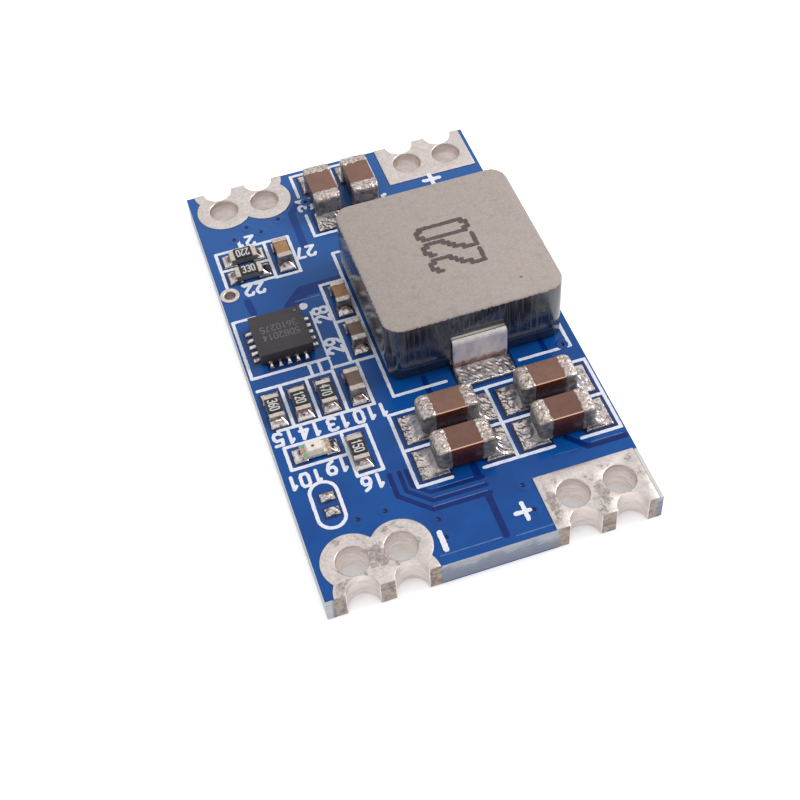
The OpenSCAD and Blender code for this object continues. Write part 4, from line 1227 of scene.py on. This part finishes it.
class MODULE_OT_markings(bpy.types.Operator):
    """Draws the painted outlines, numbers and polarity marks"""

    bl_idname = "module.markings"
    bl_label = "Markings"

    LINES = (
        [(-2.5, -5.28), (8.72, -5.28), (8.72, -10.24), (6.5, -10.24)],
        [(-2.5, -5.28), (-2.5, -10.24), (-0.65, -10.24)],
        [(1.1, -10.24), (4.95, -10.24)],
        [(2.98, -5.28), (2.98, -10.24)],
        [(-2.5, -7.83), (8.72, -7.83)],
        [(1.16, -4.12), (-1.82, -4.12), (-1.82, 7.45), (-1.45, 7.45)],
        [(5.42, -4.12), (8.4, -4.12), (8.4, 7.45), (8.05, 7.45)],
        [(-2.4, 12.8), (-2.4, 14.74), (2.42, 14.74), (2.42, 12.8)],
        [(0.06, 14.74), (0.06, 12.9)],
        [(-2.4, 11.1), (-2.4, 9.2), (2.42, 9.2), (2.42, 11.1)],
        [(-8.34, 6.95), (-8.34, 9.8), (-3.95, 9.8), (-3.95, 6.75), (-5.42, 6.75)],
        [(-7.45, 6.82), (-5.42, 6.82), (-5.42, 9.8)],
        [(-8.34, 8.3), (-5.42, 8.3)],
        [(-1.82, 5.2), (-3.25, 5.2), (-3.25, -0.95)],
        [(-3.25, 2.12), (-1.82, 2.12)],
        [(-4.35, -1.0), (-1.82, -1.0)],
        [(-8.65, -1.2), (-4.4, -1.2), (-4.4, -4.22)],
        [(-7.4, -1.2), (-7.4, -4.22)],
        [(-5.93, -1.2), (-5.93, -4.22)],
        [(-8.3, -4.22), (-2.95, -4.22), (-2.95, -1.0)],
        [(-5.2, -5.43), (-8.3, -5.43), (-8.3, -6.95), (-5.2, -6.95)],
        [(-5.2, -5.43), (-3.8, -5.43), (-3.8, -8.5), (-5.2, -8.5), (-5.2, -5.43)],
        [(-7.4, 4.15), (-8.7, 4.15), (-8.7, -0.25), (-4.33, -0.25)],
        [(-5.5, -0.25), (-5.5, -1.2)],
        [(-4.95, -0.25), (-4.95, -1.2)],
    )
    THIN_LINES = ([(-4.33, 3.4), (-4.33, -1.0)],)
    MARKS = (
        ([(-2.4, -13.25), (-2.4, -14.28)], 0.29),
        ([(2.05, -13.0), (2.05, -14.0)], 0.23),
        ([(1.55, -13.52), (2.3, -13.52)], 0.23),
        ([(5.2, 11.34), (6.15, 11.34)], 0.27),
        ([(5.66, 10.9), (5.66, 11.8)], 0.27),
    )
    NUMBERS = (
        ("21", (-6.45, 10.25), 180),
        ("22", (-6.85, 6.32), 180),
        ("27", (-3.28, 8.15), 180),
        ("28", (-3.78, 3.0), 90),
        ("29", (-3.78, 0.5), 90),
        ("15", (-8.1, -4.78), 180),
        ("14", (-6.68, -4.78), 180),
        ("13", (-5.12, -4.78), 180),
        ("110", (-3.3, -4.78), 180),
        ("19", (-6.0, -7.52), 180),
        ("101", (-7.8, -7.78), 180),
        ("16", (-4.55, -9.12), 180),
        ("31", (-2.25, 12.1), 90),
    )

    def execute(self, context):
        look = context.scene.module_markings
        wide, tall = look.line / MM, look.height / MM
        shape = Shape()
        for i, path in enumerate(self.LINES):
            ribbon(shape, path, wide, MASK_Z, tall, ragged=0.02, seed=i)
        for path in self.THIN_LINES:
            ribbon(shape, path, wide * 0.6, MASK_Z, tall, ragged=0.02)
        for path, width in self.MARKS:
            ribbon(shape, path, width, MASK_Z, tall + 0.03, ragged=0.04)
        x, y, reach, rise = -7.15, -9.66, 0.72, 0.75
        outline = [
            (x + reach * math.cos(a), y + math.copysign(rise, math.sin(a)) + reach * math.sin(a))
            for a in np.linspace(0.01, 2 * math.pi + 0.01, 33)[:-1]
        ]
        ribbon(shape, outline, wide, MASK_Z, tall, closed=True, ragged=0.02)
        disc(shape, -4.6, 3.98, 0.26, MASK_Z, tall)
        disc(shape, 2.57, 11.13, 0.12, MASK_Z, tall)
        for digits, centre, turn in self.NUMBERS:
            number(shape, digits, centre, 0.8, 0.42, 0.66, turn, 0.19, MASK_Z, tall)
        shape.make("board_markings", paint_finish(look), "mask_blue")
        return {"FINISHED"}


class MODULE_OT_solder(bpy.types.Operator):
    """Lays solder on the lands and up the ends of the parts"""

    bl_idname = "module.solder"
    bl_label = "Solder"

    def execute(self, context):
        look = context.scene.module_solder
        film = look.film / MM
        grey_reflection = look.solder_grey_reflection
        bright = solder_finish(look, "bright_solder", look.solder, look.solder_brown_high, 0.004, 0.3, 0.0)
        wrinkled = solder_finish(look, "wrinkled_solder", look.wrinkled, grey_reflection, 0.0065, 0.14, 0.11)
        pooled = solder_finish(look, "pooled_solder", look.solder, grey_reflection, 0.0065, 0.14, 0.05)
        small = Bed(film, cell=0.025, ripple=0.012, edge=0.1, climb=0.42, hollow=0.42)
        large = Bed(film, cell=0.032, ripple=0.07, edge=0.08, climb=0.56, hollow=0.62)
        groups = (
            ("resistor", 6, small, bright),
            ("small_capacitor", 4, small._replace(ripple=0.014, climb=0.52, hollow=0.5), bright),
            ("output_capacitor", 4, large, wrinkled),
            ("input_capacitor", 2, large._replace(climb=0.54, hollow=0.58), wrinkled),
        )
        seed = 0
        for family, count, bed, metal in groups:
            shape = Shape()
            for i in range(1, count + 1):
                for lo, hi in islands(f"{family}_{i}_ends"):
                    seed += 5
                    solder_bed(shape, land_under(lo, hi), (lo, hi), bed, seed)
            shape.make(f"{family}_joints", metal, "solder", [f"{family}_solder"])
        self.lamp(bright, film)
        self.controller(bright)
        self.inductor(pooled)
        self.jumper(bright)
        return {"FINISHED"}

    def lamp(self, finish, film):
        shape = Shape()
        lo, hi = box_mm("lamp_ends")
        inner = 0.35
        ends = ((lo, Vector((lo.x + inner, hi.y, hi.z))), (Vector((hi.x - inner, lo.y, lo.z)), hi))
        bed = Bed(film * 1.5, cell=0.025, ripple=0.012, edge=0.2, climb=0.26, hollow=0.34)
        for i, (a, b) in enumerate(ends):
            solder_bed(shape, land_under(a, b), (a, b), bed, 300 + i)
        shape.make("lamp_joints", finish, "solder", ["lamp_solder"])

    def controller(self, finish):
        """Joints of the edge contacts; the heat pad's is hidden under the case."""
        shape = Shape()
        bed = Bed(0.05, cell=0.02, ripple=0.01, edge=0.045, climb=0.21, hollow=0.36)
        for i, (lo, hi) in enumerate(islands("controller_contacts")):
            heat_pad = max(hi.x - lo.x, hi.y - lo.y) > 1.0
            if not heat_pad:
                solder_bed(shape, land_under(lo, hi), (lo, hi), bed, 400 + i)
        shape.make("controller_joints", finish, "solder", ["controller_solder"])

    def inductor(self, finish):
        shape = Shape()
        bed = Bed(0.08, cell=0.03, ripple=0.062, edge=0.12, climb=0.16, hollow=0.5, still=0.4)
        for i, node in enumerate(("inductor_front_strip", "inductor_rear_strip")):
            lo, hi = box_mm(node)
            solder_bed(shape, land_under(lo, hi), (lo, hi), bed, 500 + i)
        shape.make("inductor_joints", finish, "solder", ["inductor_solder"])

    def jumper(self, finish):
        shape = Shape()
        low, high = box_mm("jumper_solder")
        bed = Bed(0.2, cell=0.02, ripple=0.03, edge=0.3)
        for i, (lo, hi) in enumerate(LANDS):
            x, y = middle_of(lo, hi)
            if low.x < x < high.x and low.y < y < high.y:
                solder_bed(shape, (lo, hi), None, bed, 600 + i)
        shape.make("jumper_joints", finish, "solder", ["jumper_solder"])


class MODULE_OT_capacitors(bpy.types.Operator):
    """Builds the capacitors: ceramic bodies and lumpy metal ends"""

    bl_idname = "module.capacitors"
    bl_label = "Capacitors"

    FRONT_ROW_Y = -7.8

    def execute(self, context):
        look = context.scene.module_capacitors
        metal = end_metal_finish(look, "capacitor_end", 0.15, 0.04, 0.14)
        fine = end_metal_finish(look, "small_capacitor_end", 0.1, 0.008, 0.3)
        brown = ceramic_finish("brown_ceramic", look.brown, look.brown_side_shade, look.brown_edge_highlight, 1.56)
        deep = ceramic_finish("deep_brown_ceramic", look.brown_deep, look.brown_side_shade, look.brown_edge_highlight, 1.56)
        tan = ceramic_finish("tan_ceramic", look.tan, look.small_side_shade, look.tan, 0.76, 0.32)
        dark = ceramic_finish("dark_ceramic", look.dark, look.small_side_shade, look.dark, 0.76, 0.32)
        lumps = look.lumps / MM
        names = [f"output_capacitor_{i}" for i in (1, 2, 3, 4)] + [f"input_capacitor_{i}" for i in (1, 2)]
        for name in names:
            # The front row of large capacitors takes the darker brown top.
            front_row = box_mm(f"{name}_body")[1].y < self.FRONT_ROW_Y
            sizes = dict(body_radius=0.06, end_radius=0.27, lumps=lumps, cell=0.05, lap=0.2)
            self.build(name, deep if front_row else brown, metal, "brown_ceramic", **sizes)
        for i, body in enumerate((tan, tan, dark, dark), 1):
            slot = "tan_ceramic" if body is tan else "dark_ceramic"
            sizes = dict(body_radius=0.03, end_radius=0.1, lumps=0.014, cell=0.035, lap=0.05)
            self.build(f"small_capacitor_{i}", body, fine, slot, **sizes)
        return {"FINISHED"}

    def build(self, name, body, metal, slot, body_radius, end_radius, lumps, cell, lap):
        """A smooth chip between two lumpy ends, each lapping over it with a ragged edge."""
        ends = islands(f"{name}_ends")
        middle = sum((a + b for a, b in ends), Vector()) / 4
        along = 0 if (ends[1][0] - ends[0][0]).x > 0.5 else 1
        across = 1 - along
        lo, hi = box_mm(f"{name}_body")
        band = (ends[0][1] - ends[0][0])[along]
        lo[along] += band * 0.8
        hi[along] -= band * 0.8
        shape = Shape()
        rounded_block(shape, lo, hi, body_radius, 0.4, 3)
        shape.make(f"{name}_chip", body, slot, [f"{name}_body"])
        shape = Shape()
        for i, (a, b) in enumerate(ends):
            side = 1 if (a + b)[along] / 2 > middle[along] else -1
            seed = (middle.x * 3.1 + middle.y * 1.7 + i * 9.3) % 50

            def move(p, normal, seed=seed, side=side, tip=b[along] if side > 0 else a[along], foot=a.z):
                swell = lump(p, 0.34, seed) * 0.65 + lump(p, 0.15, seed + 4) * 0.5
                calm = 0.55 + 0.45 * max(0.0, normal.z)
                p = p + normal * (lumps * calm * (swell - 0.05))
                turned = max(0.0, 1 - abs(p[along] - tip) / (end_radius * 1.4)) ** 2
                p[across] = middle[across] + (p[across] - middle[across]) * (1 - 0.55 * end_radius * turned)
                p.z = foot + (p.z - foot) * (1 - 0.45 * end_radius * turned)
                inward = -normal[along] * side
                if inward > 0.2:
                    p[along] -= side * lump(p, 0.3, seed + 8) * lumps * 1.6 * inward
                return p

            a, b = a.copy(), b.copy()
            if side > 0:
                a[along] -= lap
            else:
                b[along] += lap
            rounded_block(shape, a, b, end_radius * 0.5, cell, 4, move)
        shape.make(f"{name}_caps", metal, "cap_metal", [f"{name}_ends"])


class MODULE_OT_resistors(bpy.types.Operator):
    """Builds the resistors: ceramic, glaze, number and metal ends"""

    bl_idname = "module.resistors"
    bl_label = "Resistors"

    def execute(self, context):
        look = context.scene.module_resistors
        ceramic = plain_finish("resistor_ceramic", look.ceramic, 0.55, 0.15)
        metal = end_metal_finish(look, "resistor_end", 0.1, 0.006, 0.35)
        glaze = plain_finish("resistor_glaze", look.glaze, 0.3, 0.3, 0.006)
        digit = plain_finish("resistor_digit", look.digit, 0.5, 0.1, 0.004, shade=0.92)
        coats = Shape()
        digits = Shape()
        values = look.values.split()
        top = box_mm("resistor_coats")[1].z
        for lo, hi in islands("resistor_coats"):
            rounded_block(coats, lo, hi, 0.012, 0.1, 2)
        for i in range(1, 7):
            lo, hi = box_mm(f"resistor_{i}_body")
            body = Shape()
            rounded_block(body, lo, hi, 0.02, 0.4, 2)
            body.make(f"resistor_{i}_substrate", ceramic, "resistor_ceramic", [f"resistor_{i}_body"])
            ends = Shape()
            for a, b in islands(f"resistor_{i}_ends"):
                def move(p, normal, seed=i * 3.3):
                    return p + normal * (0.008 * (lump(p, 0.12, seed) - 0.4))

                rounded_block(ends, a, b, 0.045, 0.05, 3, move)
            ends.make(f"resistor_{i}_caps", metal, "resistor_metal", [f"resistor_{i}_ends"])
            across = hi.x - lo.x > hi.y - lo.y
            turn = 0 if i == 2 else 180 if across else 270
            number(digits, values[i - 1], middle_of(lo, hi), 0.5, 0.17, 0.27, turn, 0.07, top, 0.006)
        coats.make("resistor_glazes", glaze, "resistor_glaze", ["resistor_coats"])
        digits.make("resistor_numbers", digit, "resistor_glaze")
        return {"FINISHED"}


class MODULE_OT_inductor(bpy.types.Operator):
    """Builds the inductor: moulding, strips and printed number"""

    bl_idname = "module.inductor"
    bl_label = "Inductor"

    DOTS = {
        "0": ["01110", "10001", "10001", "10001", "10001", "10001", "01110"],
        "1": ["00100", "01100", "00100", "00100", "00100", "00100", "01110"],
        "2": ["01110", "10001", "00001", "00110", "01000", "10000", "11111"],
        "3": ["11110", "00001", "00001", "01110", "00001", "00001", "11110"],
        "4": ["00010", "00110", "01010", "10010", "11111", "00010", "00010"],
        "5": ["11111", "10000", "11110", "00001", "00001", "10001", "01110"],
        "6": ["00110", "01000", "10000", "11110", "10001", "10001", "01110"],
        "7": ["11111", "00001", "00010", "00100", "01000", "01000", "01000"],
        "8": ["01110", "10001", "10001", "01110", "10001", "10001", "01110"],
        "9": ["01110", "10001", "10001", "01111", "00001", "00010", "01100"],
    }

    def execute(self, context):
        look = context.scene.module_inductor
        lo, hi = box_mm("inductor_body")
        ink_room = 0.03
        finish = moulding_finish(look, hi.z - ink_room)
        case = softened("inductor_body", "inductor_case", finish, "moulding", 0.05)
        for point in case.data.vertices:
            if point.co.z > (hi.z - 0.055) * MM:
                point.co.z -= ink_room * MM
        hi.z -= ink_room
        foot = box_mm("inductor_front_strip")[0].z
        strip = strip_finish(look, foot)
        for side in ("front", "rear"):
            softened(f"inductor_{side}_strip", f"inductor_{side}_lead", strip, "strip_metal", 0.04)
        finish_node("inductor_winding", plain_finish("winding_copper", (0.72, 0.42, 0.25), 0.3, metallic=1.0))
        self.print_number(look, lo, hi)
        return {"FINISHED"}

    def print_number(self, look, lo, hi):
        shape = Shape()
        tall, wide, pitch = 2.9, 0.9, 1.26
        centre = Vector(((lo.x + hi.x) / 2 + 0.2, (lo.y + hi.y) / 2 + 0.05))
        for i, digit in enumerate(look.value):
            start = (i - (len(look.value) - 1) / 2) * pitch
            for line in self.stepped(self.DOTS[digit]):
                path = []
                for row, column in line:
                    x = centre.x + (row / 6 - 0.5) * tall
                    path.append((x, centre.y + start + (column / 4 - 0.5) * wide))
                ribbon(shape, path, look.ink_dot / MM, hi.z, 0.01, ragged=0.05)
        shape.make("inductor_number", plain_finish("printed_ink", look.ink, 0.7, 0.1, 0.006), "moulding")

    def stepped(self, pattern):
        """The strokes that join the dots of a digit: straight runs both ways, and steps where it slants."""
        dots = {(r, c) for r, line in enumerate(pattern) for c, dot in enumerate(line) if dot == "1"}
        lines = []
        for r, c in sorted(dots):
            for down, right in ((1, 0), (0, 1)):
                if (r - down, c - right) in dots or (r + down, c + right) not in dots:
                    continue
                end = (r, c)
                while (end[0] + down, end[1] + right) in dots:
                    end = (end[0] + down, end[1] + right)
                lines.append([(r, c), end])
            for aside in (-1, 1):
                slants = (r + 1, c + aside) in dots
                if slants and (r, c + aside) not in dots and (r + 1, c) not in dots:
                    lines.append([(r, c), (r + 0.55, c)])
                    lines.append([(r + 0.45, c + aside), (r + 1, c + aside)])
        return lines


class MODULE_OT_controller(bpy.types.Operator):
    """Builds the controller: case, faint numbers and contacts"""

    bl_idname = "module.controller"
    bl_label = "Controller"

    def execute(self, context):
        look = context.scene.module_controller
        case = plain_finish("controller_case", look.case, 0.55, 0.08, 0.006, shade=0.9)
        softened("controller_body", "controller_shell", case, "controller_case", 0.03)
        metal = plain_finish("contact_metal", (0.86, 0.84, 0.82), 0.25, 0.1, 0.004, 1.0)
        finish_node("controller_contacts", metal)
        lo, hi = box_mm("controller_body")
        shape = Shape()
        x, y = middle_of(lo, hi)
        for i, line in enumerate(look.lines.split()):
            number(shape, line, (x, y - 0.3 + 0.62 * i), 0.42, 0.2, 0.31, 180, 0.055, hi.z, 0.003)
        disc(shape, x + 1.16, y + 1.18, 0.1, hi.z, 0.003)
        mark = plain_finish("laser_mark", look.mark, 0.7, 0.05, 0.002)
        shape.make("controller_numbers", mark, "controller_case")
        return {"FINISHED"}


class MODULE_OT_lamp(bpy.types.Operator):
    """Builds the lamp: base, lens, die and gilded ends"""

    bl_idname = "module.lamp"
    bl_label = "Lamp"

    def execute(self, context):
        look = context.scene.module_lamp
        base = plain_finish("lamp_base", look.base, 0.45, 0.2)
        lens = Finish("lamp_lens", look.lens, 0.18)
        lens.paint(lens.mix(lens.between(lens.grain(0.2), 0.4, 0.6), look.lens, darker(look.lens, 0.94)))
        lens.shader.inputs["Subsurface Weight"].default_value = 0.1
        lens.shader.inputs["Subsurface Scale"].default_value = 0.0003
        lens.bump(lens.grain(0.2), 0.006)
        softened("lamp_base", "lamp_board", base, "lamp_white", 0.02)
        self.dome(lens.material, plain_finish("lamp_die", look.die, 0.3, 0.05))
        metal = end_metal_finish(look, "lamp_end", 0.1, 0.006, 0.16)
        softened("lamp_ends", "lamp_tabs", metal, "lamp_metal", 0.02)
        lo, hi = box_mm("lamp_base")
        shape = Shape()
        for y in (lo.y + 0.09, hi.y - 0.09):
            low, high = (lo.x + 0.03, y - 0.07, hi.z - 0.02), (lo.x + 0.21, y + 0.07, hi.z + 0.06)
            rounded_block(shape, low, high, 0.02, 0.1)
        shape.make("lamp_marks", plain_finish("lamp_green", look.green, 0.4, 0.1), "lamp_white")
        return {"FINISHED"}

    def dome(self, lens, die):
        """A low lens with sloping sides, a step round its top and the die showing in its middle."""
        lo, hi = box_mm("lamp_lens")
        lo, hi = lo + Vector((0.05, 0.03, -0.02)), hi - Vector((0.16, 0.03, 0.05))
        middle = (lo + hi) / 2
        half = (hi - lo) / 2

        def move(p, normal):
            rise = (p.z - lo.z) / (hi.z - lo.z)
            p.x = middle.x + (p.x - middle.x) * (1 - 0.1 * rise)
            p.y = middle.y + (p.y - middle.y) * (1 - 0.2 * rise)
            if normal.z > 0.9:
                well = max(abs(p.x - middle.x) / half.x / 0.62, abs(p.y - middle.y) / half.y / 0.55)
                p.z -= 0.018 * min(1.0, max(0.0, (1.0 - well) / 0.14))
            return p

        shape = Shape()
        rounded_block(shape, lo, hi, 0.06, 0.03, 4, move)
        shape.make("lamp_dome", lens, "lamp_resin", ["lamp_lens"])
        shape = Shape()
        a, b = box_mm("lamp_die")
        at = Vector(((a.x + b.x) / 2, (a.y + b.y) / 2, hi.z - 0.03))
        rounded_block(shape, at - Vector((0.075, 0.07, 0.03)), at + Vector((0.075, 0.07, 0.022)), 0.02, 0.05)
        shape.make("lamp_chip", die, "lamp_chip", ["lamp_die"])


class MODULE_PT_panel(bpy.types.Panel):
    """Lists the pieces of the module"""

    bl_label = "Converter Module"
    bl_idname = "MODULE_PT_panel"
    bl_space_type = "VIEW_3D"
    bl_region_type = "UI"
    bl_category = "Module"

    def draw(self, context):
        for operator in OPERATORS:
            self.layout.operator(operator.bl_idname)
        for name, group in GROUPS.items():
            part = self.layout.box()
            part.label(text=group.__name__)
            for key in group.__annotations__:
                part.prop(getattr(context.scene, name), key)


OPERATORS = (
    MODULE_OT_stage,
    MODULE_OT_board,
    MODULE_OT_markings,
    MODULE_OT_solder,
    MODULE_OT_capacitors,
    MODULE_OT_resistors,
    MODULE_OT_inductor,
    MODULE_OT_controller,
    MODULE_OT_lamp,
)
GROUPS = {
    "module_stage": StageLook,
    "module_board": BoardLook,
    "module_markings": MarkingLook,
    "module_solder": SolderLook,
    "module_capacitors": CapacitorLook,
    "module_resistors": ResistorLook,
    "module_inductor": InductorLook,
    "module_controller": ControllerLook,
    "module_lamp": LampLook,
}


def register():
    for group in GROUPS.values():
        bpy.utils.register_class(group)
    for name, group in GROUPS.items():
        setattr(bpy.types.Scene, name, PointerProperty(type=group))
    for operator in OPERATORS:
        bpy.utils.register_class(operator)
    bpy.utils.register_class(MODULE_PT_panel)


def unregister():
    bpy.utils.unregister_class(MODULE_PT_panel)
    for operator in reversed(OPERATORS):
        bpy.utils.unregister_class(operator)
    for name in GROUPS:
        delattr(bpy.types.Scene, name)
    for group in reversed(list(GROUPS.values())):
        bpy.utils.unregister_class(group)


def main():
    register()
    for operator in OPERATORS:
        group, name = operator.bl_idname.split(".")
        getattr(getattr(bpy.ops, group), name)()


if __name__ == "__main__":
    main()
